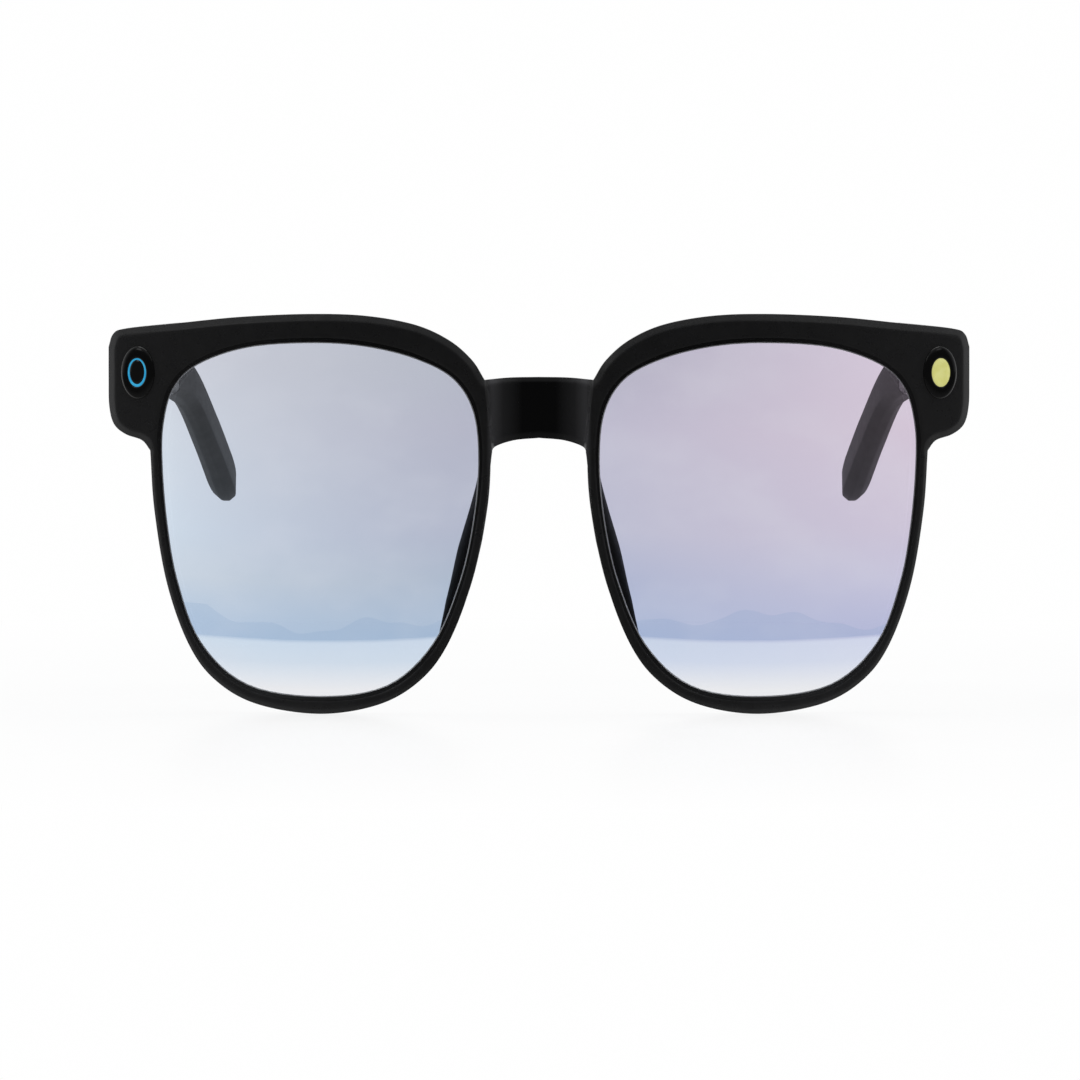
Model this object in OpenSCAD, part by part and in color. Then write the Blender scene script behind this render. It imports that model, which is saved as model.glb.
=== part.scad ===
// Smart glasses: a one-piece front with two lenses, a camera and a lamp in its end-pieces, and two
// folding temples that hold the boards, batteries and speakers.
// Frame: +Z up, the front faces -Y, +X is the wearer's left. The origin is the middle of the
// footprint at the height of the rims' lowest point. "Right" and "left" are the wearer's.

/* [Front] */
// Width across the two end-pieces
front_w = 145; // [142:1:148]
// Height from the rims' lowest point to the top of the brow
front_h = 67; // [66:0.5:68]
// Radius of the curve that the front wraps round
wrap_r = 180; // [175:5:190]
// Thickness of the rims, front to back
rim_t = 4.5; // [4.3:0.1:4.8]
// Thickness of a lens
lens_t = 2; // [1.6:0.2:2.2]
// Distance from the bridge's front to the back of the end-pieces
pod_d = 25; // [24.5:0.5:26]

/* [Camera and lamp] */
// Distance of the camera and lamp centres in from the end-pieces' outer edges
module_inset = 5; // [4.8:0.1:5.2]
// Height of the camera and lamp centres
module_z = 57.1; // [56.8:0.1:57.4]
// Half width of the bezel
bezel_rx = 3.1; // [2.9:0.1:3.2]
// Half height of the bezel
bezel_rz = 4.45; // [4.2:0.05:4.6]

/* [Temples] */
// Depth from the bridge's front to the ear tips
overall_d = 144; // [142:1:146]
// Wall of the temple housings
wall = 1.2; // [1:0.1:1.3]
// Thickness of the inner covers
cover_t = 1; // [0.8:0.1:1.1]
// Where the housing ends and the ear tip starts, behind the bridge's front
tip_start = 100; // [99:0.5:101]

/* [Hinges] */
// Radius of a knuckle
knuckle_r = 1.2; // [1.1:0.05:1.25]
// Radius of the hinge screw's shank
screw_r = 0.6; // [0.5:0.05:0.65]
// Radial clearance of the screw in the knuckles
screw_gap = 0.05; // [0.03:0.01:0.08]
// Gap between the end-piece and the temple's butt end
butt_gap = 0.3; // [0.25:0.05:0.4]

/* [Controls] */
// Travel of the capture button
button_travel = 0.5; // [0.3:0.1:0.5]
// Travel of the power slider
slider_travel = 2; // [1.5:0.5:2]

/* [Hidden] */

$fn = 48;
wrap_fn = 180;                   // sides of the large cylinders that the front follows
RIGHT = -1;
LEFT = 1;
INNER = -1;
OUTER = 1;
cut = 1;                         // how far a cutter runs past what it cuts
y_front = -overall_d / 2;        // foremost point of the bridge
half_w = front_w / 2;
pod_y = y_front + pod_d;         // back of the end-pieces
butt_y = pod_y + butt_gap;       // front end of the temples
tip_y = y_front + tip_start;

black = [0.07, 0.07, 0.075];
soft_black = [0.12, 0.12, 0.13];
steel = [0.62, 0.63, 0.65];
gold = [0.85, 0.68, 0.32];
copper = [0.75, 0.45, 0.15];
dark_red = [0.25, 0.03, 0.05];
window_black = [0.02, 0.02, 0.03];
board_green = [0.1, 0.35, 0.22];
cell_silver = [0.7, 0.7, 0.72];
light_blue = [0.22, 0.72, 0.92];
pale_yellow = [0.95, 0.95, 0.6];
lens_tint = [0.72, 0.75, 0.86, 0.4];

// ---- Curves ----------------------------------------------------------------------------------

// Catmull-Rom curve between b and c
function curve_at(a, b, c, d, t) =
    0.5 * (2 * b + (c - a) * t + (2 * a - 5 * b + 4 * c - d) * t * t
           + (3 * b - a - 3 * c + d) * t * t * t);

// Smooth open curve through the points, with n steps between two of them
function smooth(p, n = 5) = concat(
    [for (i = [0 : len(p) - 2], k = [0 : n - 1])
        curve_at(i == 0 ? 2 * p[0] - p[1] : p[i - 1], p[i], p[i + 1],
                 i == len(p) - 2 ? 2 * p[i + 1] - p[i] : p[i + 2], k / n)],
    [p[len(p) - 1]]);

// Smooth closed curve through the points
function smooth_loop(p, n = 4) = [
    for (i = [0 : len(p) - 1], k = [0 : n - 1])
        curve_at(p[(i + len(p) - 1) % len(p)], p[i], p[(i + 1) % len(p)], p[(i + 2) % len(p)], k / n)];

function reversed(p) = [for (i = [len(p) - 1 : -1 : 0]) p[i]];
function unit(v) = v / norm(v);

// Flat band of the given width along a line of points
function ribbon(p, width) =
    let (side = [for (i = [0 : len(p) - 1])
        let (d = unit(p[min(i + 1, len(p) - 1)] - p[max(i - 1, 0)])) [-d[1], d[0]] * width / 2])
    concat([for (i = [0 : len(p) - 1]) p[i] + side[i]],
           reversed([for (i = [0 : len(p) - 1]) p[i] - side[i]]));

// ---- Front outlines, seen from the front, for the wearer's left half --------------------------

// The outlines are drawn for a front 145 wide and 67 high and follow front_w and front_h
function sized(p) = [for (q = p) [q[0] * front_w / 145, q[1] * front_h / 67]];

lens_centre = sized([[36.75, 32.55]])[0];
lens_half = sized([[26.85, 29.75]])[0];

lens_curve = smooth_loop(sized([
    [38.2, 62.3], [49, 61.5], [57.4, 58.6], [61.6, 54.5], [63.3, 48.5], [63.5, 42], [62.7, 32],
    [60.9, 22], [56.9, 11.7], [49, 4.7], [36.8, 2.8], [25.4, 4.7], [17.7, 11.7], [13.2, 22],
    [10.9, 32], [10, 42], [10.8, 50.5], [14.2, 56.2], [20.5, 59.6], [29, 61.7]]));

// Lens outline grown outwards by g all round
function lens_outline(g) = [
    for (q = lens_curve) [
        lens_centre[0] + (q[0] - lens_centre[0]) * (lens_half[0] + g) / lens_half[0],
        lens_centre[1] + (q[1] - lens_centre[1]) * (lens_half[1] + g) / lens_half[1]]];

bridge_top = smooth(sized([[0, 56.5], [5, 56.4], [9.1, 56]]), 3);
brow_line = smooth(sized([
    [9.1, 56], [11.2, 59.3], [15, 62.6], [20.7, 65.2], [29, 66.7], [38.5, 67], [50, 66.5],
    [60, 65.5], [69.5, 64.5], [71.7, 63.6], [72.5, 61.4]]));
endpiece_line = smooth(sized([
    [72.5, 61.4], [72.5, 56], [72.4, 51.5], [71.6, 48.4], [69.6, 46.7], [66.8, 45.7], [65.4, 44]]), 4);
rim_line = smooth(sized([
    [65.4, 44], [64.7, 34], [62.6, 21.8], [59, 11.7], [54.5, 5.6], [47.5, 1.6], [36.8, 0],
    [26.9, 1.6], [20, 5.6], [15.3, 11.7], [11.4, 21.8], [9, 34], [7.9, 43.5]]));
bridge_arch = smooth(sized([[7.9, 43.5], [7.4, 44.8], [4.2, 45.9], [0, 46.3]]), 4);

half_outline = concat(bridge_top, [for (i = [1 : len(brow_line) - 1]) brow_line[i]],
                      [for (i = [1 : len(endpiece_line) - 1]) endpiece_line[i]],
                      [for (i = [1 : len(rim_line) - 1]) rim_line[i]],
                      [for (i = [1 : len(bridge_arch) - 1]) bridge_arch[i]]);
front_outline = concat(half_outline,
    [for (i = [len(half_outline) - 2 : -1 : 1]) [-half_outline[i][0], half_outline[i][1]]]);

// Middle of the channel that runs through the brow, from the bridge to the end-piece
channel_half = smooth(sized([
    [0, 52.6], [6, 53.2], [10.8, 55.6], [14.2, 59.3], [19.5, 62.5], [28, 64.6], [38, 65],
    [50, 64.2], [58, 62.4], [64, 60.6]]), 4);
channel_line = concat(reversed([for (q = channel_half) [-q[0], q[1]]]),
                      [for (i = [1 : len(channel_half) - 1]) channel_half[i]]);

// ---- Temple spine ------------------------------------------------------------------------------

// Along the wearer's left temple: distance behind the bridge's front, distance in from the front's
// outer edge, height, half thickness, half height
spine_points = [
    [pod_d + butt_gap, 3.2, 56.6, 3.0, 7.0], [44, 3.3, 56.8, 2.95, 6.5], [62, 3.8, 57.1, 2.8, 5.7],
    [80, 4.7, 57.2, 2.7, 4.9], [97, 6.5, 56.8, 2.5, 4.3], [112, 9.7, 53.7, 2.3, 4.1],
    [126, 12.7, 45.6, 2.3, 4.1], [overall_d - 4, 15.5, 36.6, 2.3, 4.0]];
// The same as X, Y, Z, half thickness, half height
spine = smooth([for (s = spine_points) [half_w - s[1], y_front + s[0], s[2], s[3], s[4]]], 4);
spine_end = spine[len(spine) - 1];

// Value of the spine at a given Y
function spine_at(y, k) = lookup(y, [for (s = spine) [s[1], s[k]]]);
function spine_x(y) = spine_at(y, 0);
function spine_z(y) = spine_at(y, 2);
function half_thick(y) = spine_at(y, 3);
function half_high(y) = spine_at(y, 4);

// Direction of the spine at sample i, in the plane of coordinates a and b
function spine_dir(i, a, b) =
    let (p = spine[max(i - 1, 0)], q = spine[min(i + 1, len(spine) - 1)]) unit([q[a] - p[a], q[b] - p[b]]);

// One long edge of the temple from above: side is INNER or OUTER, d is how far in from the face
function plan_edge(side, d) = [
    for (i = [0 : len(spine) - 1])
        let (t = spine_dir(i, 0, 1)) [spine[i][0], spine[i][1]] + [t[1], -t[0]] * side * (spine[i][3] - d)];

// One long edge of the temple from the side, as Y and Z: way is 1 for the top, -1 for the bottom
function side_edge(way, d) = [
    for (i = [0 : len(spine) - 1])
        let (t = spine_dir(i, 1, 2)) [spine[i][1], spine[i][2]] + [-t[1], t[0]] * way * (spine[i][4] - d)];

// Half circle that closes the end of a band, clockwise from the end of one edge to that of the other
function round_end(from, to, steps = 8) = [
    for (k = [0 : steps])
        let (middle = (from + to) / 2, r = from - middle, a = -180 * k / steps)
        middle + [r[0] * cos(a) - r[1] * sin(a), r[0] * sin(a) + r[1] * cos(a)]];

// Outline of the temple from above between two edges, closed by a round end that reaches as far as
// the round end of its side view does
function plan_outline(a, b) =
    let (last = len(spine) - 1, reach = max(0, spine_end[4] - norm(a[last] - b[last]) / 2),
         run_on = spine_dir(last, 0, 1) * reach)
    concat(a, round_end(a[last] + run_on, b[last] + run_on), reversed(b));

function side_outline(top, low) =
    concat(top, round_end(top[len(top) - 1], low[len(low) - 1]), reversed(low));

// ---- Shared solids -----------------------------------------------------------------------------

module on_side(side) {
    mirror([side < 0 ? 1 : 0, 0, 0]) children();
}

// Extrudes an outline in X and Z between two Y values
module along_y(y0, y1) {
    translate([0, y1, 0]) rotate([90, 0, 0]) linear_extrude(y1 - y0) children();
}

// Extrudes an outline in Y and Z between two X values
module along_x(x0, x1) {
    translate([x0, 0, 0]) rotate([90, 0, 90]) linear_extrude(x1 - x0) children();
}

module block(low, high) {
    translate(low) cube(high - low);
}

// Everything behind the surface that lies d behind the wrapped front face
module behind_face(d) {
    translate([0, y_front + wrap_r, -cut])
        cylinder(r = wrap_r - d, h = front_h + 2 * cut, $fn = wrap_fn);
}

// Everything between two depths behind the wrapped front face
module face_layer(d0, d1) {
    difference() {
        behind_face(d0);
        translate([0, y_front + wrap_r, -2 * cut])
            cylinder(r = wrap_r - d1, h = front_h + 4 * cut, $fn = wrap_fn);
    }
}

module ellipse(rx, rz) {
    polygon([for (a = [0 : 7.5 : 352.5]) [rx * cos(a), rz * sin(a)]]);
}

module_x = half_w - module_inset;
module_turn = asin(module_x / wrap_r);
module_y = y_front + wrap_r - sqrt(wrap_r * wrap_r - module_x * module_x);

// Places a piece of the camera or lamp: its own -Y leaves the face at a right angle
module in_module(side) {
    translate([side * module_x, module_y, module_z]) rotate([0, 0, side * module_turn]) children();
}

// Upright oval from depth d0 to d1, measured into the end-piece
module oval(rx, rz, d0, d1) {
    along_y(d0, d1) ellipse(rx, rz);
}

// Temple-shaped solid between two Y values, between two long edges seen from above, each given
// as [side, distance in from that face], and shrunk by drop at the top and bottom
module temple_body(y0, y1, edge_a, edge_b, drop) {
    a = plan_edge(edge_a[0], edge_a[1]);
    b = plan_edge(edge_b[0], edge_b[1]);
    top = side_edge(1, drop);
    low = side_edge(-1, drop);
    intersection() {
        linear_extrude(front_h) polygon(plan_outline(a, b));
        along_x(0, half_w + cut) polygon(side_outline(top, low));
        block([0, y0, 0], [half_w + cut, y1, front_h]);
    }
}

// Bar that follows the temple's spine, w thick and h high
module spine_bar(y0, y1, w, h) {
    middle = [for (s = spine) [s[0], s[1]]];
    level = [for (s = spine) [s[1], s[2]]];
    intersection() {
        linear_extrude(front_h) polygon(ribbon(middle, w));
        along_x(0, half_w + cut) polygon(ribbon(level, h));
        block([0, y0, 0], [half_w + cut, y1, front_h]);
    }
}

// Cylinder along X between two X values
module peg_x(x0, x1, y, z, r) {
    translate([x0, y, z]) rotate([0, 90, 0]) cylinder(r = r, h = x1 - x0);
}

// Upright slot with round ends along Y, between two heights
module slot_z(x, y0, y1, r, z0, z1) {
    for (y = [y0 + r, y1 - r]) translate([x, y, z0]) cylinder(r = r, h = z1 - z0);
    block([x - r, y0 + r, z0], [x + r, y1 - r, z1]);
}

// ---- Front -------------------------------------------------------------------------------------

fit = 0.02;                      // clearance of a piece in its seat
groove_front = 1.3;              // depth of the lens groove's front wall
groove_lip = 0.8;                // how far the lens reaches into the rim
groove_slack = 0.03;
channel_w = 1.5;
channel_d = 1.3;
channel_cover_t = 0.7;
flex_w = 1.2;
flex_t = 0.2;
flex_front = rim_t - channel_d + 0.05;
bridge_half = 7.2;               // half width of the bridge's recessed face
bridge_low = 44;
bridge_recess = 0.75;
microphone_z = 49.4;             // height of the bridge's microphone
microphone_r = 1.25;
microphone_l = 1.9;
microphone_seat = 2.4;           // depth of its seat in the back of the bridge
microphone_gap = 0.05;
microphone_port = [0.3, 0.5];    // radius and depth of its port
endpiece_in = half_w - 11.5;     // inner side of an end-piece
endpiece_low = 44.6;             // underside of an end-piece
endpiece_off = 1.4;              // how far an end-piece stays off the lens opening
cavity_in = half_w - 6.3;        // inner wall of the end-piece's cavity
cavity_out = half_w - 1.4;
cavity_z = [49.5, 62];
nook_in = half_w - 9.3;          // the deeper nook behind the camera or lamp
nook_z = [55.6, 61.6];
nook_y = pod_y - 5.5;            // back of the nook
pod_wall = 1.8;                  // wall between the face and the cavity
cover_seat = 1.4;                // thickness of an end-piece cover
hinge_x = half_w - 7.6;
hinge_y = pod_y + 1.6;
hinge_z = [53.4, 61.4];
leaf_t = 1;
leaf_in = hinge_x - 1;           // inner edge of the front leaf's seat
recess = 0.8;                    // depth of the bezel's seat
hole_rx = 2.5;
hole_rz = 3.75;

// Body of an end-piece behind the face
module endpiece(side) {
    on_side(side) intersection() {
        along_y(y_front, pod_y) difference() {
            polygon(front_outline);
            polygon(lens_outline(endpiece_off));
            translate([-front_w, -cut]) square([front_w + endpiece_in, front_h + 3 * cut]);
            translate([-front_w, -cut]) square([2 * front_w, endpiece_low + cut]);
        }
        behind_face(0);
    }
}

// Space inside an end-piece, open at its back
module endpiece_cavity(side) {
    on_side(side) intersection() {
        union() {
            block([cavity_in, y_front, cavity_z[0]], [cavity_out, pod_y + cut, cavity_z[1]]);
            block([nook_in, y_front, nook_z[0]], [cavity_out, nook_y, nook_z[1]]);
        }
        behind_face(pod_wall);
    }
}

module front_frame() {
    color(black) difference() {
        union() {
            intersection() {
                along_y(y_front, pod_y) polygon(front_outline);
                face_layer(0, rim_t);
            }
            for (side = [RIGHT, LEFT]) endpiece(side);
        }
        // the bridge lies a little behind the rims
        block([-bridge_half, y_front - cut, bridge_low], [bridge_half, y_front + bridge_recess, front_h]);
        for (side = [RIGHT, LEFT]) {
            on_side(side) {
                along_y(y_front - cut, pod_y + cut) polygon(lens_outline(0));
                intersection() {
                    along_y(y_front, pod_y) polygon(lens_outline(groove_lip + groove_slack));
                    face_layer(groove_front - groove_slack, groove_front + lens_t + groove_slack);
                }
                // seats of the hinge leaf and its rivets
                block([leaf_in, pod_y - leaf_t, hinge_z[0]], [cavity_in, pod_y + cut, hinge_z[1]]);
                hinge_rivet_holes();
            }
            endpiece_cavity(side);
            in_module(side) oval(bezel_rx + fit, bezel_rz + fit, -3 * cut, recess);
            in_module(side) oval(hole_rx, hole_rz, 0, pod_wall + 1.5 * cut);
        }
        // channel for the flex cable, in the back of the brow
        intersection() {
            along_y(y_front, pod_y) polygon(ribbon(channel_line, channel_w));
            face_layer(rim_t - channel_d, rim_t + 2 * cut);
        }
        // seat of the bridge's microphone
        translate([0, y_front + rim_t - microphone_seat, microphone_z]) rotate([-90, 0, 0])
            cylinder(r = microphone_r + microphone_gap, h = 4 * cut);
    }
}

module lens(side) {
    color(lens_tint) on_side(side) intersection() {
        along_y(y_front, pod_y) polygon(lens_outline(groove_lip));
        face_layer(groove_front, groove_front + lens_t);
    }
}

module lens_right() { lens(RIGHT); }
module lens_left() { lens(LEFT); }

// Balls that a nose pad is stretched over: X, distance behind the bridge's front, Z, radius
pad_balls = [[10, 5, 39.6, 0.9], [11.8, 6, 30.5, 1.8], [13.5, 6.4, 23, 2], [15.9, 5.4, 14.6, 1],
             [12.6, 9.8, 30, 1.1], [14.4, 10.2, 23, 1.2]];

// Rounded pad that grows from the back of the rim beside the nose
module nose_pad(side) {
    color(soft_black) on_side(side) intersection() {
        hull() for (b = pad_balls) translate([b[0], y_front + b[1], b[2]]) sphere(r = b[3], $fn = 24);
        behind_face(rim_t);
    }
}

module nose_pad_right() { nose_pad(RIGHT); }
module nose_pad_left() { nose_pad(LEFT); }

module brow_flex_cable() {
    color(copper) intersection() {
        along_y(y_front, pod_y) polygon(ribbon(channel_line, flex_w));
        face_layer(flex_front, flex_front + flex_t);
    }
}

// Strip that closes the channel, up to the end-pieces
module brow_channel_cover() {
    color(soft_black) intersection() {
        along_y(y_front, pod_y) difference() {
            polygon(ribbon(channel_line, channel_w));
            for (side = [RIGHT, LEFT]) on_side(side)
                translate([endpiece_in - 0.1, 0]) square([half_w, front_h]);
        }
        face_layer(rim_t - channel_cover_t, rim_t);
    }
}

module bridge_microphone() {
    y = y_front + rim_t - microphone_seat + microphone_gap;
    color(steel) translate([0, y, microphone_z]) rotate([-90, 0, 0]) difference() {
        cylinder(r = microphone_r, h = microphone_l);
        translate([0, 0, microphone_l - microphone_port[1]]) cylinder(r = microphone_port[0], h = cut);
    }
}

// ---- Camera and lamp ---------------------------------------------------------------------------

ring_rx = 1.67;
ring_rz = 2.4;
ring_w = 0.3;
// Steps of the bezel's crown: how far in from its edge, how far out of the face
crown_steps = [[0, 0.2], [0.35, 0.38], [0.8, 0.5]];
// Depths of the pieces in the bezel, from the face: front and back
ring_y = [-0.4, 1.2];
camera_window_y = [-0.35, 0.2];
lamp_window_y = [-0.4, 1.1];
barrel_y = [0.25, 3.95];
barrel_r = 1.2;
flare = [0.95, 0.45, 1.2];       // front radius, back radius and depth of the barrel's flare
module_board_y = [4, 4.6];
module_board_z = [-1.2, 4.2];
module_board_half = 2.1;
connector = [1.3, 0.7, 2.4];     // half width, thickness and height of the camera's connector
connector_z = 1.4;
emitter = [0.9, 1.1];            // half width and thickness of the lamp's emitter

// Black oval bezel with a raised crown
module bezel(side) {
    color(black) in_module(side) difference() {
        for (s = crown_steps) oval(bezel_rx - s[0], bezel_rz - s[0], -s[1], recess);
        oval(ring_rx + fit, ring_rz + fit, -2 * cut, recess + cut);
    }
}

module camera_bezel() { bezel(RIGHT); }
module lamp_bezel() { bezel(LEFT); }

module camera_light_ring() {
    color(light_blue) in_module(RIGHT) difference() {
        oval(ring_rx, ring_rz, ring_y[0], ring_y[1]);
        oval(ring_rx - ring_w, ring_rz - ring_w, ring_y[0] - cut, ring_y[1] + cut);
    }
}

module camera_window() {
    color(window_black) in_module(RIGHT)
        oval(ring_rx - ring_w - fit, ring_rz - ring_w - fit, camera_window_y[0], camera_window_y[1]);
}

module camera_barrel() {
    color(soft_black) in_module(RIGHT) rotate([-90, 0, 0]) difference() {
        translate([0, 0, barrel_y[0]]) cylinder(r = barrel_r, h = barrel_y[1] - barrel_y[0]);
        cylinder(r1 = flare[0], r2 = flare[1], h = flare[2]);
    }
}

// Small board on the slant behind the camera or the lamp
module module_board(side) {
    in_module(side) block([-module_board_half, module_board_y[0], module_board_z[0]],
                          [module_board_half, module_board_y[1], module_board_z[1]]);
}

module camera_board() {
    color(board_green) {
        module_board(RIGHT);
        in_module(RIGHT) block([-connector[0], module_board_y[1], connector_z],
                               [connector[0], module_board_y[1] + connector[1],
                                connector_z + connector[2]]);
    }
}

module lamp_window() {
    color(pale_yellow) in_module(LEFT) oval(ring_rx, ring_rz, lamp_window_y[0], lamp_window_y[1]);
}

module lamp_board() {
    color(board_green) module_board(LEFT);
    color(pale_yellow) in_module(LEFT)
        block([-emitter[0], module_board_y[0] - emitter[1], -emitter[0]],
              [emitter[0], module_board_y[0], emitter[0]]);
}

// ---- End-piece covers and hinges ----------------------------------------------------------------

// Opening for the wires to the temple: X from the cavity's inner wall, and Z
wire_hole_x = [1.2, 3.2];
wire_hole_z = [56.2, 58.6];

module endpiece_cover(side) {
    color(soft_black) on_side(side) difference() {
        block([cavity_in + fit, pod_y - cover_seat, cavity_z[0] + fit],
              [cavity_out - fit, pod_y, cavity_z[1] - fit]);
        block([cavity_in + wire_hole_x[0], pod_y - cover_seat - cut, wire_hole_z[0]],
              [cavity_in + wire_hole_x[1], pod_y + cut, wire_hole_z[1]]);
    }
}

module endpiece_cover_right() { endpiece_cover(RIGHT); }
module endpiece_cover_left() { endpiece_cover(LEFT); }

knuckle_h = (hinge_z[1] - hinge_z[0]) / 5;
knuckle_play = 0.04;             // end play on each side of a temple knuckle
front_arm_x = [-0.9, 0.7];       // sides of a front knuckle's arm, from the hinge's axis
front_arm_root = 0.1;            // how far the arm is set into the leaf
temple_arm_y = [-0.7, 0.8];      // front and back of a temple knuckle's arm, from the hinge's axis
rivet_r = 0.4;
rivet_l = leaf_t + 1.9;
rivet_x = hinge_x + 0.2;
rivet_z = [55.2, 59.6];
screw_tail = 0.2;                // how far the hinge screw comes out of the lowest knuckle
screw_head_h = 0.6;
screw_slot = [0.3, 0.3];         // width and depth of the screw's slot

// Knuckles of the given numbers, counted from the bottom
module knuckles(numbers, play) {
    for (i = numbers)
        translate([hinge_x, hinge_y, hinge_z[0] + i * knuckle_h + play])
            cylinder(r = knuckle_r, h = knuckle_h - 2 * play);
}

module screw_bore() {
    translate([hinge_x, hinge_y, hinge_z[0] - cut])
        cylinder(r = screw_r + screw_gap, h = hinge_z[1] - hinge_z[0] + 2 * cut);
}

module hinge_rivet_holes() {
    for (z = rivet_z)
        translate([rivet_x, pod_y - rivet_l - 0.1, z]) rotate([-90, 0, 0])
            cylinder(r = rivet_r, h = rivet_l + 0.1 + cut);
}

module front_hinge(side) {
    color(steel) on_side(side) difference() {
        union() {
            block([leaf_in + fit, pod_y - leaf_t, hinge_z[0] + fit],
                  [cavity_in - fit, pod_y, hinge_z[1] - fit]);
            for (i = [0, 2, 4]) {
                z0 = hinge_z[0] + i * knuckle_h;
                block([hinge_x + front_arm_x[0], pod_y - front_arm_root, max(z0, hinge_z[0] + fit)],
                      [hinge_x + front_arm_x[1], hinge_y, min(z0 + knuckle_h, hinge_z[1] - fit)]);
            }
            knuckles([0, 2, 4], 0);
        }
        screw_bore();
        hinge_rivet_holes();
    }
}

module front_hinge_right() { front_hinge(RIGHT); }
module front_hinge_left() { front_hinge(LEFT); }

// Two rivets that hold the front leaf
module hinge_rivets(side) {
    color(steel) on_side(side) for (z = rivet_z)
        translate([rivet_x, pod_y - rivet_l, z]) rotate([-90, 0, 0])
            cylinder(r = rivet_r - fit, h = rivet_l);
}

module hinge_rivets_right() { hinge_rivets(RIGHT); }
module hinge_rivets_left() { hinge_rivets(LEFT); }

// Slotted screw that is the hinge's pin
module hinge_screw(side) {
    color(steel) on_side(side) translate([hinge_x, hinge_y, 0]) difference() {
        union() {
            translate([0, 0, hinge_z[0] - screw_tail])
                cylinder(r = screw_r, h = hinge_z[1] - hinge_z[0] + screw_tail);
            translate([0, 0, hinge_z[1]]) cylinder(r = knuckle_r - 0.1, h = screw_head_h);
        }
        block([-knuckle_r, -screw_slot[0] / 2, hinge_z[1] + screw_head_h - screw_slot[1]],
              [knuckle_r, screw_slot[0] / 2, hinge_z[1] + screw_head_h + cut]);
    }
}

module hinge_screw_right() { hinge_screw(RIGHT); }
module hinge_screw_left() { hinge_screw(LEFT); }

// ---- Temples -----------------------------------------------------------------------------------

pocket_y = [y_front + 39, y_front + 96.5];
boss_y = [pocket_y[0] + 2.2, pocket_y[1] - 2.4];
boss_r = 1.4;
cover_screw_r = 0.5;
cover_screw_l = 3.4;             // depth of a cover screw's tip below the cover's face
cover_head = [0.9, 0.12, 0.5];   // radius of its head, and the depths of the head's top and underside
cover_slot = [0.24, 1.2, 0.3];   // width and length of the slot, and the depth of its floor
cover_gap = 0.05;                // seam round a temple's cover
leaf_end = y_front + 37;
leaf_z = [54.2, 60.6];
leaf_inset = 0.1;                // depth of the leaf below the temple's inner face
wire_t = 1.4;
wire_h = 2;
wire_y = [y_front + 96.6, y_front + 137];
inner_x = half_w - 3.2 - 3.0;    // inner face of the temple at the hinge

button_y = [y_front + 45, y_front + 54];
button_x = spine_x(button_y[0]) - 0.1;
button_r = 1.25;
button_gap = 0.12;
button_slot_low = 58;            // floor of the cutter that makes the button's slot
button_top = 63.7;
button_flange_z = [60.2, 61.1];
slider_y = y_front + 49;         // middle of the slider at rest
slider_z = 57;
slider_half = [1.5, 0.8];
slider_gap = 0.1;
slider_x = [-0.45, 1.3];         // outer and inner ends of its knob, from the temple's inner face
slider_plate = [0.9, 0.8];       // how far its plate runs past the knob along Y and Z

// Outer housing of a temple with its pocket, bosses and the hinge leaf's seat
module temple_shell(side) {
    color(black) on_side(side) difference() {
        temple_body(butt_y, tip_y, [INNER, 0], [OUTER, 0], 0);
        difference() {
            temple_body(pocket_y[0], pocket_y[1], [INNER, -cut], [OUTER, wall], wall);
            for (y = boss_y)
                peg_x(spine_x(y) - half_thick(y) + cover_t, spine_x(y) + half_thick(y),
                      y, spine_z(y), boss_r);
        }
        for (y = boss_y)
            peg_x(spine_x(y) - 4 * cut, spine_x(y) + half_thick(y) - wall,
                  y, spine_z(y), cover_screw_r + fit);
        // seat of the hinge leaf
        block([inner_x - cut, butt_y - cut, leaf_z[0]],
              [inner_x + leaf_inset + leaf_t, leaf_end + fit, leaf_z[1]]);
        spine_bar(wire_y[0], tip_y + cut, wire_t + 2 * fit, wire_h + 2 * fit);
        if (side == RIGHT) {
            slot_z(button_x, button_y[0] - button_gap, button_y[1] + button_gap,
                   button_r + button_gap, button_slot_low, front_h);
        }
    }
}

module temple_shell_right() { temple_shell(RIGHT); }
module temple_shell_left() { temple_shell(LEFT); }

grille_y = [y_front + 84, y_front + 91];
grille_half_z = 1.5;
grille_slots = 5;
slot_half = [0.3, 1];            // half width and half height of a grille slot
grille_depth = [0.1, 0.7];       // depths of the grille's two faces below the cover's face

// Window of the speaker grille, grown by g all round
module grille_window(g) {
    y = (grille_y[0] + grille_y[1]) / 2;
    block([spine_x(y) - 6 * cut, grille_y[0] - g, spine_z(y) - grille_half_z - g],
          [spine_x(y), grille_y[1] + g, spine_z(y) + grille_half_z + g]);
}

contact_y = [for (i = [-1, 0, 1]) y_front + 62 + 3 * i];
contact_r = 0.9;
contact_z = 57.1;
contact_x = [-0.1, 1.4];         // outer and inner ends of a contact, from the temple's inner face
sensor_y = y_front + 60;
sensor_r = 1.3;

// Round hole through a temple's cover
module cover_hole(y, z, r) {
    peg_x(spine_x(y) - 5 * cut, spine_x(y), y, z, r);
}

module slider_slot() {
    block([spine_x(slider_y) - 5 * cut, slider_y - slider_half[0] - slider_gap,
           slider_z - slider_half[1] - slider_gap],
          [spine_x(slider_y), slider_y + slider_half[0] + slider_travel + slider_gap,
           slider_z + slider_half[1] + slider_gap]);
}

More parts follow.
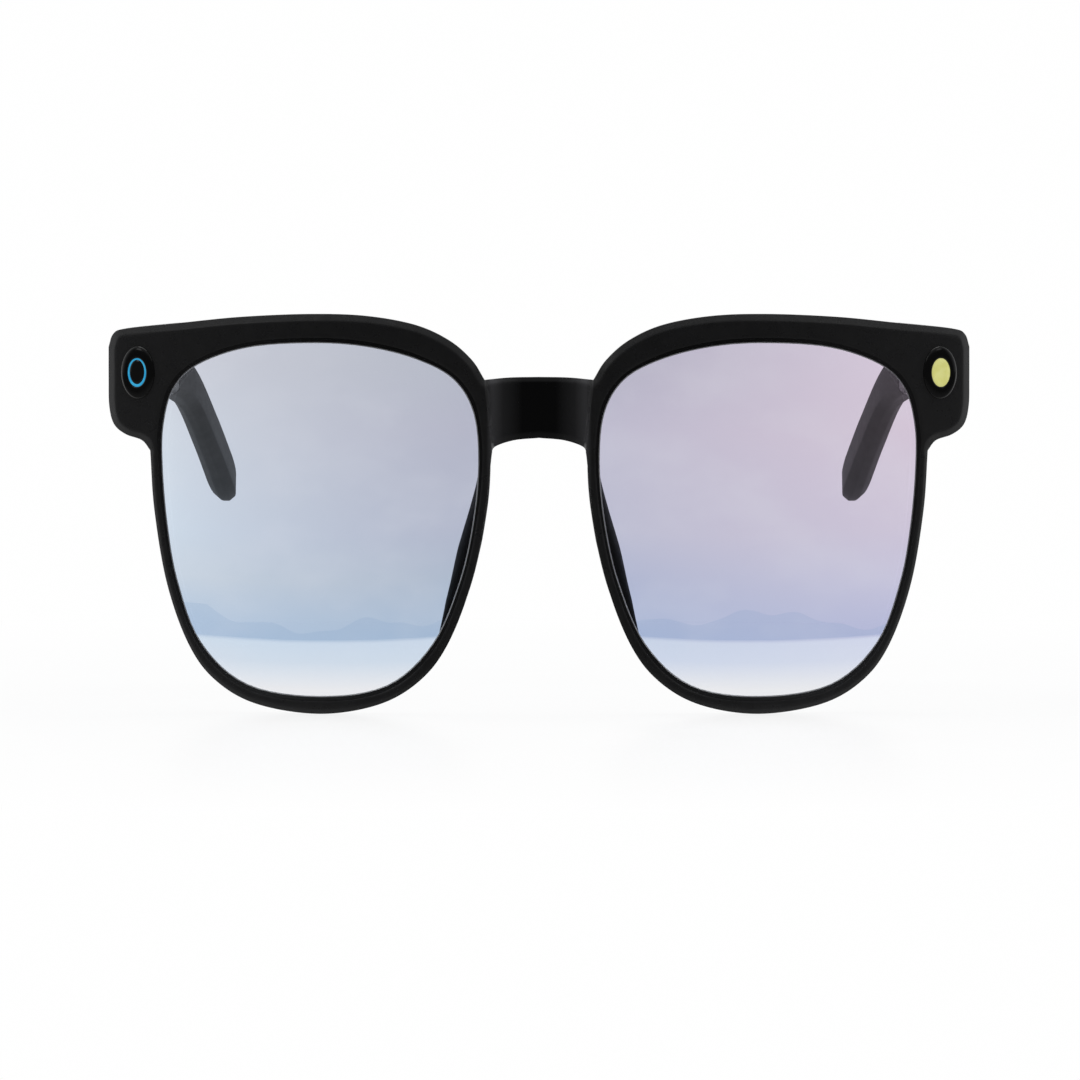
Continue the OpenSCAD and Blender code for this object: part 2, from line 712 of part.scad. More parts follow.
// Cover that closes the pocket on the side of the head
module temple_cover(side) {
    color(soft_black) on_side(side) difference() {
        temple_body(pocket_y[0] + cover_gap, pocket_y[1] - cover_gap,
                    [INNER, 0], [INNER, cover_t], wall + cover_gap);
        for (y = boss_y) {
            cover_hole(y, spine_z(y), cover_screw_r + fit);
            peg_x(spine_x(y) - 5 * cut, spine_x(y) - half_thick(y) + cover_head[2],
                  y, spine_z(y), cover_head[0] + cover_gap);
        }
        grille_window(fit);
        if (side == LEFT) {
            for (y = contact_y) cover_hole(y, contact_z, contact_r + fit);
            slider_slot();
        } else {
            cover_hole(sensor_y, contact_z, sensor_r + fit);
        }
    }
}

module temple_cover_right() { temple_cover(RIGHT); }
module temple_cover_left() { temple_cover(LEFT); }

// Soft sleeve over the end of the wire
module ear_tip(side) {
    color(soft_black) on_side(side) difference() {
        temple_body(tip_y, spine_end[1] + 10, [INNER, 0], [OUTER, 0], 0);
        spine_bar(tip_y - cut, wire_y[1] + 0.1, wire_t + 2 * fit, wire_h + 2 * fit);
    }
}

module ear_tip_right() { ear_tip(RIGHT); }
module ear_tip_left() { ear_tip(LEFT); }

module core_wire(side) {
    color(steel) on_side(side) spine_bar(wire_y[0] + 0.05, wire_y[1], wire_t, wire_h);
}

module core_wire_right() { core_wire(RIGHT); }
module core_wire_left() { core_wire(LEFT); }

module temple_hinge(side) {
    color(steel) on_side(side) difference() {
        union() {
            block([inner_x + leaf_inset, butt_y + 0.2, leaf_z[0] + fit],
                  [inner_x + leaf_inset + leaf_t - fit, leaf_end, leaf_z[1] - fit]);
            for (i = [1, 3]) {
                z0 = hinge_z[0] + i * knuckle_h + knuckle_play;
                block([hinge_x, hinge_y + temple_arm_y[0], z0],
                      [inner_x + 2 * leaf_inset, hinge_y + temple_arm_y[1],
                       z0 + knuckle_h - 2 * knuckle_play]);
            }
            knuckles([1, 3], knuckle_play);
        }
        screw_bore();
    }
}

module temple_hinge_right() { temple_hinge(RIGHT); }
module temple_hinge_left() { temple_hinge(LEFT); }

// ---- Inside the temples ------------------------------------------------------------------------

board_x = [0.7, 1.3];            // inner and outer face of a temple's board, from the spine
cell_x = [-1.35, 0.55];          // the same of a battery
cell_half_z = 3.2;

// Upright board beside the outer wall. A chip is its start along Y and Z, its length, height and
// thickness.
module temple_board(side, y0, y1, z0, z1, chips) {
    x = spine_x((y0 + y1) / 2) + board_x[0];
    on_side(side) {
        color(board_green) block([x, y0, z0], [x + board_x[1] - board_x[0], y1, z1]);
        color(soft_black) for (c = chips)
            block([x - c[4], y0 + c[0], z0 + c[1]], [x, y0 + c[0] + c[2], z0 + c[1] + c[3]]);
    }
}

module main_board() {
    temple_board(RIGHT, y_front + 43.2, y_front + 57.6, 52.7, 58.2,
                 [[1, 0.6, 5, 4.4, 1], [7.2, 0.6, 3.4, 4.4, 0.8], [11.4, 1.4, 2.4, 2.4, 0.7]]);
}

module audio_board() {
    temple_board(LEFT, y_front + 43.2, y_front + 57, 52.6, 61.4,
                 [[1, 6.9, 3.4, 1.6, 0.7], [10.8, 1, 2.6, 3.4, 0.8], [10.8, 5.6, 2.6, 2.6, 0.7]]);
}

module battery(side, y0, y1) {
    y = (y0 + y1) / 2;
    color(cell_silver) on_side(side)
        block([spine_x(y) + cell_x[0], y0, spine_z(y) - cell_half_z],
              [spine_x(y) + cell_x[1], y1, spine_z(y) + cell_half_z]);
}

module battery_right() { battery(RIGHT, y_front + 63, y_front + 81); }
module battery_left() { battery(LEFT, y_front + 68.5, y_front + 81.5); }

// Ends of the speaker's basket and magnet, from the spine, and their radii
basket_x = [-0.9, 0.6];
magnet_x = 0.95;
basket_r = 2.9;
magnet_r = 1.8;

module speaker(side) {
    y = (grille_y[0] + grille_y[1]) / 2;
    x = spine_x(y);
    color(soft_black) on_side(side) {
        peg_x(x + basket_x[0], x + basket_x[1], y, spine_z(y), basket_r);
        peg_x(x + basket_x[1], x + magnet_x, y, spine_z(y), magnet_r);
    }
}

module speaker_right() { speaker(RIGHT); }
module speaker_left() { speaker(LEFT); }

module speaker_grille(side) {
    pitch = (grille_y[1] - grille_y[0]) / grille_slots;
    color(steel) on_side(side) difference() {
        intersection() {
            temple_body(pocket_y[0], pocket_y[1],
                        [INNER, grille_depth[0]], [INNER, grille_depth[1]], wall);
            grille_window(0);
        }
        for (i = [0 : grille_slots - 1]) {
            y = grille_y[0] + (i + 0.5) * pitch;
            block([spine_x(y) - 6 * cut, y - slot_half[0], spine_z(y) - slot_half[1]],
                  [spine_x(y), y + slot_half[0], spine_z(y) + slot_half[1]]);
        }
    }
}

module speaker_grille_right() { speaker_grille(RIGHT); }
module speaker_grille_left() { speaker_grille(LEFT); }

// Place and size of a temple's microphone, with its low corner's X from the spine
voice_y = y_front + 58.6;
voice_low = [0.3, 54];
voice_size = [1, 2.4, 1.8];
voice_port_r = 0.25;

module microphone(side) {
    x = spine_x(voice_y + 1) + voice_low[0];
    color(steel) on_side(side) difference() {
        translate([x, voice_y, voice_low[1]]) cube(voice_size);
        peg_x(x - voice_low[0], x + voice_low[0], voice_y + voice_size[1] / 2,
              voice_low[1] + voice_size[2] / 2, voice_port_r);
    }
}

module microphone_right() { microphone(RIGHT); }
module microphone_left() { microphone(LEFT); }

foil_y = [y_front + 61.5, y_front + 83];
foil_z = [54.6, 59.8];
foil_depth = [0.05, 0.25];       // depths of the foil's faces below the outer wall's inner face
comb_gap = 2;                    // width of a gap in the antenna, and of a bar between two gaps
comb_back = 1.2;                 // height of the bar that joins the antenna at a gap

// Thin foil on the inside of the outer wall
module foil() {
    intersection() {
        temple_body(foil_y[0], foil_y[1], [OUTER, wall + foil_depth[1]], [OUTER, wall + foil_depth[0]],
                    wall);
        block([0, foil_y[0] - cut, foil_z[0]], [half_w, foil_y[1] + cut, foil_z[1]]);
    }
}

// Foil that senses a finger on the outer wall
module touch_strip() {
    color(copper) on_side(RIGHT) foil();
}

// Foil cut from above and below in turn, so that it runs up and down
module antenna() {
    color(gold) on_side(LEFT) difference() {
        foil();
        for (i = [0 : 4]) {
            y = foil_y[0] + 2.5 + 2 * comb_gap * i;
            z = i % 2 == 0 ? [foil_z[0] - cut, foil_z[1] - comb_back]
                           : [foil_z[0] + comb_back, foil_z[1] + cut];
            block([0, y, z[0]], [half_w, y + comb_gap, z[1]]);
        }
    }
}

sensor_x = [0.05, 1.4, 1.9];     // ends of its window and of its base, from the temple's inner face
sensor_base = 1.7;               // half width of the base

// Round infrared window that tells when the glasses are worn
module wear_sensor() {
    x = spine_x(sensor_y) - half_thick(sensor_y);
    color(dark_red) on_side(RIGHT) {
        peg_x(x + sensor_x[0], x + sensor_x[1], sensor_y, contact_z, sensor_r);
        block([x + sensor_x[1], sensor_y - sensor_base, contact_z - sensor_base],
              [x + sensor_x[2], sensor_y + sensor_base, contact_z + sensor_base]);
    }
}

module cover_screws(side) {
    color(steel) on_side(side) for (y = boss_y) {
        x = spine_x(y) - half_thick(y);
        difference() {
            union() {
                peg_x(x + cover_head[1], x + cover_head[2], y, spine_z(y), cover_head[0]);
                peg_x(x + cover_head[2] - 0.1, x + cover_screw_l, y, spine_z(y), cover_screw_r);
            }
            block([x - cut, y - cover_slot[1] / 2, spine_z(y) - cover_slot[0] / 2],
                  [x + cover_slot[2], y + cover_slot[1] / 2, spine_z(y) + cover_slot[0] / 2]);
        }
    }
}

module cover_screws_right() { cover_screws(RIGHT); }
module cover_screws_left() { cover_screws(LEFT); }

flange_half = 1.5;               // half width of the button's flange
flange_run = 0.8;                // how far the flange runs past the button at each end

// Button on top of the right temple, with a flange that keeps it in
module capture_button() {
    color(soft_black) on_side(RIGHT) {
        slot_z(button_x, button_y[0], button_y[1], button_r, button_flange_z[1] - 0.1, button_top);
        block([button_x - flange_half, button_y[0] - flange_run, button_flange_z[0]],
              [button_x + flange_half, button_y[1] + flange_run, button_flange_z[1]]);
    }
}

switch_half = [1.2, 1.7];
switch_z = [58.3, 59.2];
plunger_r = 0.8;
plunger_gap = 0.05;              // left between the plunger and the pressed button

module button_switch() {
    y = (button_y[0] + button_y[1]) / 2;
    x = spine_x(y) - 0.3;
    plunger_top = button_flange_z[0] - button_travel - plunger_gap;
    color(steel) on_side(RIGHT) {
        block([x - switch_half[0], y - switch_half[1], switch_z[0]],
              [x + switch_half[0], y + switch_half[1], switch_z[1]]);
        translate([x, y, switch_z[1]]) cylinder(r = plunger_r, h = plunger_top - switch_z[1]);
    }
}

// ---- Left temple's own pieces ------------------------------------------------------------------

module charge_contacts() {
    color(gold) on_side(LEFT) for (y = contact_y) {
        x = spine_x(y) - half_thick(y);
        peg_x(x + contact_x[0], x + contact_x[1], y, contact_z, contact_r);
    }
}

dock_magnet = [4.6, 2];          // place of a magnet along Y and Z, from the middle contact
dock_magnet_r = 0.9;
dock_magnet_x = [0.15, 1.35];    // ends of a magnet, from the cover's inner face

module dock_magnets() {
    color(cell_silver) on_side(LEFT) for (s = [-1, 1]) {
        y = contact_y[1] + s * dock_magnet[0];
        x = spine_x(y) - half_thick(y) + cover_t;
        peg_x(x + dock_magnet_x[0], x + dock_magnet_x[1], y, contact_z + s * dock_magnet[1], dock_magnet_r);
    }
}

// Inner and outer face of the power switch from the spine, its ends from the slider, its half height
power_switch_x = [-0.95, -0.05];
power_switch_y = [-3.4, 4.6];
power_switch_half_z = 1.8;

module power_switch() {
    x = spine_x(slider_y);
    color(steel) on_side(LEFT)
        block([x + power_switch_x[0], slider_y + power_switch_y[0], slider_z - power_switch_half_z],
              [x + power_switch_x[1], slider_y + power_switch_y[1], slider_z + power_switch_half_z]);
}

module power_slider() {
    x = spine_x(slider_y);
    face = x - half_thick(slider_y);
    color(soft_black) on_side(LEFT) {
        block([face + slider_x[0], slider_y - slider_half[0], slider_z - slider_half[1]],
              [face + slider_x[1], slider_y + slider_half[0], slider_z + slider_half[1]]);
        block([face + slider_x[1] - 0.1, slider_y - slider_half[0] - slider_plate[0],
               slider_z - slider_half[1] - slider_plate[1]],
              [x + power_switch_x[0] - 0.2, slider_y + slider_half[0] + slider_plate[0],
               slider_z + slider_half[1] + slider_plate[1]]);
    }
}

front_frame();
lens_right();
lens_left();
nose_pad_right();
nose_pad_left();
brow_flex_cable();
brow_channel_cover();
bridge_microphone();
camera_bezel();
camera_light_ring();
camera_window();
camera_barrel();
camera_board();
lamp_bezel();
lamp_window();
lamp_board();
endpiece_cover_right();
endpiece_cover_left();
front_hinge_right();
front_hinge_left();
hinge_rivets_right();
hinge_rivets_left();
hinge_screw_right();
hinge_screw_left();
temple_shell_right();
temple_cover_right();
ear_tip_right();
core_wire_right();
temple_hinge_right();
main_board();
battery_right();
speaker_right();
speaker_grille_right();
microphone_right();
touch_strip();
wear_sensor();
cover_screws_right();
button_switch();
capture_button();
temple_shell_left();
temple_cover_left();
ear_tip_left();
core_wire_left();
temple_hinge_left();
audio_board();
battery_left();
speaker_left();
speaker_grille_left();
microphone_left();
antenna();
cover_screws_left();
charge_contacts();
dock_magnets();
power_switch();
power_slider();
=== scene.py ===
"""Smart glasses: surfaces, finishes and studio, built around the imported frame.

The front faces -Y, +Z is up and +X is the wearer's left. "Right" and "left" are the wearer's.
Outlines are drawn in millimetres in the frame's own place, for a front 145 wide and 67 high.
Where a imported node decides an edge, that edge is read from the frame.
"""
import logging
import math
from dataclasses import dataclass, field
from enum import Enum

import bmesh
import bpy
import numpy as np
from mathutils import Matrix, Vector


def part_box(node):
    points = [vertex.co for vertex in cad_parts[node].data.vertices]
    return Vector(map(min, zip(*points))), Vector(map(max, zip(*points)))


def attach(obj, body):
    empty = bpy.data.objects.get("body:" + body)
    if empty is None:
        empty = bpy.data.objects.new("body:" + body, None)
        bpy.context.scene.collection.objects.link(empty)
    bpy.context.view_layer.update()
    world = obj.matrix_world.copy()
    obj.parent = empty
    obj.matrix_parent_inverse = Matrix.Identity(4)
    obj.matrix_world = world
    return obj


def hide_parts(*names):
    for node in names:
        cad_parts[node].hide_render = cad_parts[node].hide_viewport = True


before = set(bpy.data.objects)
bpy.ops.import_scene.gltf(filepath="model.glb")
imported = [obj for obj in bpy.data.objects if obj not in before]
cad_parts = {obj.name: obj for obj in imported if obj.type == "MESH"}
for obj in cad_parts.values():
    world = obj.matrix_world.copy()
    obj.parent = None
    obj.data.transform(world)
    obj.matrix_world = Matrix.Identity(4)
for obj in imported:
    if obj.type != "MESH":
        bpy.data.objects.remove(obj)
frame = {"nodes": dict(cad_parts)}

LOG = logging.getLogger("smart_glasses")
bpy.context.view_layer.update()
MM = 0.001
Points = list[tuple[float, ...]]


class Side(Enum):
    """The wearer's right or left, as the sign of X."""

    RIGHT = -1
    LEFT = 1

    @property
    def word(self) -> str:
        """The side's name, as the nodes use it."""
        return self.name.lower()

    @property
    def body(self) -> str:
        """Name of the temple's body on this side."""
        return f"temple_{self.word}"


# ---- Curves and distances ---------------------------------------------------------------------


def _between(a: np.ndarray, b: np.ndarray, c: np.ndarray, d: np.ndarray, t: np.ndarray) -> np.ndarray:
    """Catmull-Rom points between two points of a curve.

    Args:
        a: The point before the stretch.
        b: Where the stretch starts.
        c: Where it ends.
        d: The point after it.
        t: Fractions of the way from b to c.

    Returns:
        One point for each fraction.
    """
    t = t[:, None]
    return 0.5 * (2 * b + (c - a) * t + (2 * a - 5 * b + 4 * c - d) * t**2
                  + (3 * b - a - 3 * c + d) * t**3)


def smooth(points: Points, steps: int = 12) -> np.ndarray:
    """Smooth open curve through the points.

    Args:
        points: The points that the curve passes through.
        steps: Pieces between one point and the next.

    Returns:
        The curve's own points, one row each.
    """
    p = np.array(points, float)
    p = np.vstack([2 * p[0] - p[1], p, 2 * p[-1] - p[-2]])
    t = np.arange(steps) / steps
    parts = [_between(*p[i:i + 4], t) for i in range(len(p) - 3)]
    return np.vstack([*parts, p[-2][None]])


def smooth_loop(points: Points, steps: int = 12) -> np.ndarray:
    """Smooth closed curve through the points; the first point isn't repeated.

    Args:
        points: The points that the curve passes through.
        steps: Pieces between one point and the next.

    Returns:
        The curve's own points, one row each.
    """
    p = np.array(points, float)
    t = np.arange(steps) / steps
    n = len(p)
    return np.vstack([_between(p[i - 1], p[i], p[(i + 1) % n], p[(i + 2) % n], t) for i in range(n)])


def lengths(curve: np.ndarray) -> np.ndarray:
    """Distance along the curve to each of its points."""
    return np.concatenate([[0], np.cumsum(np.linalg.norm(np.diff(curve, axis=0), axis=1))])


def point_at(curve: np.ndarray, distance: np.ndarray) -> np.ndarray:
    """Points of a curve at distances along it.

    Args:
        curve: The curve's points.
        distance: How far along each wanted point lies.

    Returns:
        One point for each distance.
    """
    s = lengths(curve)
    return np.stack([np.interp(distance, s, curve[:, k]) for k in range(curve.shape[1])], axis=1)


def distance_of(curve: np.ndarray, point: tuple[float, float]) -> float:
    """Distance along a curve to its point nearest the given one.

    Args:
        curve: The curve's points.
        point: The point to come near to.

    Returns:
        The distance.
    """
    near = np.linalg.norm(curve - np.array(point), axis=1).argmin()
    return float(lengths(curve)[near])


def gap_to(points: np.ndarray, loop: np.ndarray) -> np.ndarray:
    """Distance from each point to a closed outline.

    Args:
        points: One point a row.
        loop: The outline's points in order.

    Returns:
        One distance for each point.
    """
    a, b = loop, np.roll(loop, -1, axis=0)
    ab = b - a
    size = np.maximum((ab**2).sum(1), 1e-18)
    best = np.full(len(points), np.inf)
    batch = 2000
    for start in range(0, len(points), batch):
        p = points[start:start + batch, None, :]
        t = np.clip(((p - a) * ab).sum(2) / size, 0, 1)
        gap = np.linalg.norm(p - (a + t[..., None] * ab), axis=2)
        best[start:start + batch] = gap.min(1)
    return best


def fillet(gap: np.ndarray, radius: float) -> np.ndarray:
    """How far a round edge lies below the face.

    Args:
        gap: Distances from the edge.
        radius: Radius of the round edge.

    Returns:
        One depth for each distance.
    """
    inside = np.clip(radius - gap, 0, radius)
    return radius - np.sqrt(np.maximum(radius**2 - inside**2, 0))


def ease(t: np.ndarray) -> np.ndarray:
    """Smooth step from 0 to 1."""
    t = np.clip(t, 0, 1)
    return t * t * (3 - 2 * t)


def soft_rise(t: np.ndarray, softness: float) -> np.ndarray:
    """Straight rise from t = 0 on, with a soft bend where it starts.

    Args:
        t: Where each point lies, 0 at the bend.
        softness: How round the bend is.

    Returns:
        One height for each point.
    """
    return 0.5 * (t + np.sqrt(t * t + softness))


def superellipse(turn: np.ndarray, power: float) -> tuple[np.ndarray, np.ndarray]:
    """Unit outline between a circle and a square.

    Args:
        turn: Angles round it.
        power: Power of the cosine and the sine; 1 for a circle, less for a squarer outline.

    Returns:
        Across and up for each angle.
    """
    c, s = np.cos(turn), np.sin(turn)
    return np.sign(c) * np.abs(c) ** power, np.sign(s) * np.abs(s) ** power


def full_turn(count: int) -> np.ndarray:
    """Evenly spaced angles once round."""
    return np.linspace(0, 2 * math.pi, count, endpoint=False)


# ---- Meshes -----------------------------------------------------------------------------------


class Sheets:
    """Collects points and faces, then becomes one piece of the object.

    Attributes:
        points: Blocks of points, one point a row.
        faces: The numbers of each face's corners.
        finish_of: Which of the piece's materials each face takes.
        count: How many points there are.
        finish: Which material the next faces take.
    """

    def __init__(self) -> None:
        """Starts empty."""
        self.points: list[np.ndarray] = []
        self.faces: list[list[int]] = []
        self.finish_of: list[int] = []
        self.count = 0
        self.finish = 0

    def add(self, points: np.ndarray) -> np.ndarray:
        """Adds points.

        Args:
            points: An array of any shape that ends in 3.

        Returns:
            The points' numbers, in the same shape.
        """
        flat = points.reshape(-1, 3)
        self.points.append(flat)
        numbers = np.arange(self.count, self.count + len(flat)).reshape(points.shape[:-1])
        self.count += len(flat)
        return numbers

    def skin(self, numbers: np.ndarray, loop_rows: bool = False, loop_cols: bool = False) -> None:
        """Lays quads over a grid of point numbers.

        Args:
            numbers: The grid.
            loop_rows: Also joins the last row to the first.
            loop_cols: Also joins the last column to the first.
        """
        rows = np.vstack([numbers, numbers[:1]]) if loop_rows else numbers
        grid = np.hstack([rows, rows[:, :1]]) if loop_cols else rows
        for upper, lower in zip(grid[:-1], grid[1:]):
            for a, b, c, d in zip(upper[:-1], upper[1:], lower[1:], lower[:-1]):
                self.face([a, b, c, d])

    def face(self, corners: list[int]) -> None:
        """Adds one face."""
        self.faces.append([int(c) for c in corners])
        self.finish_of.append(self.finish)

    def cap(self, ring: np.ndarray) -> None:
        """Closes a ring with a fan about its middle.

        Args:
            ring: The numbers of its points, in order.
        """
        points = np.vstack(self.points)[ring]
        middle = self.add(points.mean(0)[None])[0]
        for a, b in zip(ring, np.roll(ring, -1)):
            self.face([a, b, middle])

    def loft(self, rings: np.ndarray) -> None:
        """Skins a stack of closed rings and closes both ends.

        Args:
            rings: One closed ring of points a row.
        """
        numbers = self.add(rings)
        self.skin(numbers, loop_cols=True)
        self.cap(numbers[0])
        self.cap(numbers[-1])

    def mirrored(self, x: bool) -> "Sheets":
        """Turns everything over in X if asked.

        Args:
            x: Whether to turn it over.

        Returns:
            These sheets.
        """
        if x:
            self.points = [p * np.array([-1, 1, 1]) for p in self.points]
        return self

    def moved(self, place: Matrix) -> "Sheets":
        """Moves every point.

        Args:
            place: The matrix that each point goes through.

        Returns:
            These sheets.
        """
        m = np.array(place)
        self.points = [p @ m[:3, :3].T + m[:3, 3] for p in self.points]
        return self

    def merge(self, other: "Sheets") -> None:
        """Adds everything that other sheets hold.

        Args:
            other: The sheets to add.
        """
        base = self.count
        self.points += other.points
        self.count += other.count
        self.faces += [[c + base for c in f] for f in other.faces]
        self.finish_of += other.finish_of

    def mesh(self, name: str, crease: float, weld: float = 2e-6) -> bpy.types.Mesh:
        """Makes the mesh.

        Args:
            name: The mesh's name.
            crease: Angle in degrees past which an edge shades sharp.
            weld: Points nearer each other than this become one.

        Returns:
            The finished mesh.
        """
        made = bpy.data.meshes.new(name)
        made.from_pydata(np.vstack(self.points).tolist(), [], self.faces)
        made.polygons.foreach_set("material_index", np.array(self.finish_of, np.int32))
        bench = bmesh.new()
        bench.from_mesh(made)
        bmesh.ops.remove_doubles(bench, verts=bench.verts[:], dist=weld)
        bmesh.ops.dissolve_degenerate(bench, dist=weld, edges=bench.edges[:])
        bmesh.ops.recalc_face_normals(bench, faces=bench.faces[:])
        bench.to_mesh(made)
        bench.free()
        made.shade_smooth()
        made.set_sharp_from_angle(angle=math.radians(crease))
        return made


def ring_points(radii: tuple[float, float], count: int, power: float = 2.0) -> np.ndarray:
    """Closed oval in a plane.

    Args:
        radii: Half width and half height.
        count: Number of points.
        power: 2 for an ellipse, more for a squarer outline.

    Returns:
        One point a row, across and up.
    """
    across, up = superellipse(full_turn(count), 2 / power)
    return np.stack([radii[0] * across, radii[1] * up], axis=1)


def level_ring(radii: tuple[float, float], level: float, count: int, power: float = 2.0) -> np.ndarray:
    """Closed oval at one level.

    Args:
        radii: Half width and half height.
        level: Its place along Z.
        count: Number of points.
        power: 2 for an ellipse, more for a squarer outline.

    Returns:
        One point a row, in X, Y and Z.
    """
    return np.column_stack([ring_points(radii, count, power), np.full(count, level)])


def stack(profile: list[tuple[float, float, float]], count: int = 96, power: float = 2.0) -> Sheets:
    """Piece made of ovals laid over each other along +Z.

    Args:
        profile: Half width, half height and level of each oval, in order.
        count: Points in an oval.
        power: Squareness of the ovals.

    Returns:
        The closed piece.
    """
    smallest = 1e-6
    rings = [level_ring((max(w, smallest), max(h, smallest)), z, count, power) for w, h, z in profile]
    piece = Sheets()
    piece.loft(np.array(rings))
    return piece


def turned(profile: list[tuple[float, float]], count: int = 48) -> Sheets:
    """Piece turned about +Z.

    Args:
        profile: Radius and level pairs, in order.
        count: Points round the piece.

    Returns:
        The closed piece.
    """
    return stack([(r, r, z) for r, z in profile], count)


def hollow_ring(profile: list[tuple[float, float, float]], count: int = 96) -> Sheets:
    """Ring whose section is a closed profile.

    Args:
        profile: Half width, half height and level of each oval, round the section.
        count: Points in an oval.

    Returns:
        The ring.
    """
    rings = np.array([level_ring((w, h), z, count) for w, h, z in profile])
    piece = Sheets()
    piece.skin(piece.add(rings), loop_rows=True, loop_cols=True)
    return piece


def facing(origin: Vector | tuple, axis: Vector | tuple, up: tuple = (0, 0, 1)) -> Matrix:
    """Placing matrix for a piece that is made along +Z.

    Args:
        origin: Where the piece's own origin goes.
        axis: Where its +Z points.
        up: Where its +Y points, as nearly as it can.

    Returns:
        The matrix.
    """
    z = Vector(axis).normalized()
    x = Vector(up).cross(z).normalized()
    y = z.cross(x)
    rows = Matrix((x, y, z)).transposed().to_4x4()
    rows.translation = Vector(origin)
    return rows


# ---- Finishes ---------------------------------------------------------------------------------

Color = tuple[int, int, int]
Stretch = tuple[float, float, float]
Stops = tuple[tuple[float, Color], ...]


def linear(color: Color) -> tuple[float, float, float, float]:
    """Screen colour as the linear colour that a shader takes.

    Args:
        color: Red, green and blue from 0 to 255.

    Returns:
        Linear red, green, blue and an alpha of 1.
    """
    share = np.array(color) / 255
    low = share / 12.92
    high = ((share + 0.055) / 1.055) ** 2.4
    return (*np.where(share <= 0.04045, low, high).tolist(), 1.0)


class Graph:
    """Node tree of a material or a world, with short calls for the nodes that most finishes use.

    Attributes:
        owner: The material or the world.
        tree: Its nodes.
        place: Socket with the place that is shaded.
    """

    def __init__(self, owner: bpy.types.Material | bpy.types.World, place: str = "Object") -> None:
        """Empties the owner's node tree.

        Args:
            owner: The material or the world.
            place: Which texture coordinate stands for the place.
        """
        owner.use_nodes = True
        self.owner = owner
        self.tree = owner.node_tree
        self.tree.nodes.clear()
        self.place = self.node("ShaderNodeTexCoord").outputs[place]

    def node(self, kind: str, inputs: dict | None = None, **settings: object) -> bpy.types.Node:
        """Adds a node.

        Args:
            kind: The node's type name.
            inputs: Values or sockets for its inputs, by name or number.
            settings: The node's own properties.

        Returns:
            The node.
        """
        made = self.tree.nodes.new(kind)
        for key, value in settings.items():
            setattr(made, key, value)
        for key, value in (inputs or {}).items():
            if isinstance(value, bpy.types.NodeSocket):
                self.tree.links.new(value, made.inputs[key])
            else:
                made.inputs[key].default_value = value
        return made

    def noise(self, grain: float, detail: float = 3, stretch: Stretch = (1, 1, 1)) -> bpy.types.NodeSocket:
        """Noise.

        Args:
            grain: Size of its features, mm.
            detail: How much finer structure it has.
            stretch: How it runs; a value below 1 draws it out along that axis.

        Returns:
            The noise, mostly between 0.3 and 0.7.
        """
        spread = self.node("ShaderNodeMapping", {"Vector": self.place, "Scale": stretch})
        made = self.node("ShaderNodeTexNoise", {"Vector": spread.outputs[0], "Scale": 1 / (grain * MM),
                                                "Detail": detail, "Roughness": 0.55})
        return made.outputs[0]

    def math(self, operation: str, a: object, b: object = 0.0) -> bpy.types.NodeSocket:
        """One step of arithmetic.

        Args:
            operation: Blender's name for the step.
            a: The first value or socket.
            b: The second, where the step takes one.

        Returns:
            The result.
        """
        return self.node("ShaderNodeMath", {0: a, 1: b}, operation=operation).outputs[0]

    def axis(self, name: str) -> bpy.types.NodeSocket:
        """The place along X, Y or Z, in mm."""
        split = self.node("ShaderNodeSeparateXYZ", {0: self.place})
        return self.math("MULTIPLY", split.outputs[name], 1 / MM)

    def between(self, value: object, low: float, high: float, a: float = 0.0, b: float = 1.0
                ) -> bpy.types.NodeSocket:
        """Value laid from one range onto another, and held at both ends.

        Args:
            value: The value.
            low: Where it starts to count.
            high: Where it stops.
            a: The result at low.
            b: The result at high.

        Returns:
            The result.
        """
        return self.node("ShaderNodeMapRange", {0: value, 1: low, 2: high, 3: a, 4: b}).outputs[0]

    def ramp(self, value: bpy.types.NodeSocket, stops: Stops) -> bpy.types.NodeSocket:
        """Colours laid along a value.

        Args:
            value: The value, from 0 to 1.
            stops: Places along it and their colours, in order.

        Returns:
            The colour.
        """
        made = self.node("ShaderNodeValToRGB", {0: value})
        made.color_ramp.interpolation = "EASE" if len(stops) < 3 else "LINEAR"
        strip = made.color_ramp.elements
        for at, color in stops[1:-1]:
            strip.new(at)
        for element, (at, color) in zip(strip, stops):
            element.position = at
            element.color = linear(color)
        return made.outputs[0]

    def blend(self, factor: object, a: object, b: object) -> bpy.types.NodeSocket:
        """Mix of two colours.

        Args:
            factor: 0 for the first and 1 for the second.
            a: The first colour.
            b: The second colour.

        Returns:
            The mix.
        """
        made = self.node("ShaderNodeMix", {0: factor, 6: a, 7: b}, data_type="RGBA")
        return made.outputs[2]

    def bump(self, height: bpy.types.NodeSocket, depth: float,
             under: bpy.types.NodeSocket | None = None) -> bpy.types.NodeSocket:
        """Raised pattern.

        Args:
            height: The pattern.
            depth: Its depth, mm.
            under: Another pattern that it lies on, if any.

        Returns:
            The bent normal.
        """
        inputs = {"Height": height, "Distance": depth * MM, "Strength": 1.0}
        if under is not None:
            inputs["Normal"] = under
        return self.node("ShaderNodeBump", inputs).outputs[0]

    def close(self, shader: bpy.types.Node) -> bpy.types.Material:
        """Joins the shader to the output.

        Args:
            shader: The last shader.

        Returns:
            The finished material.
        """
        self.node("ShaderNodeOutputMaterial", {0: shader.outputs[0]})
        return self.owner


COLOR_DRIFT = 2.5    # size of the patches over which a finish's colour drifts, mm
GLOSS_DRIFT = 1.6    # the same for its roughness
WAVINESS = 7.0       # and for its slow waves
DRIFT_DETAIL = 4


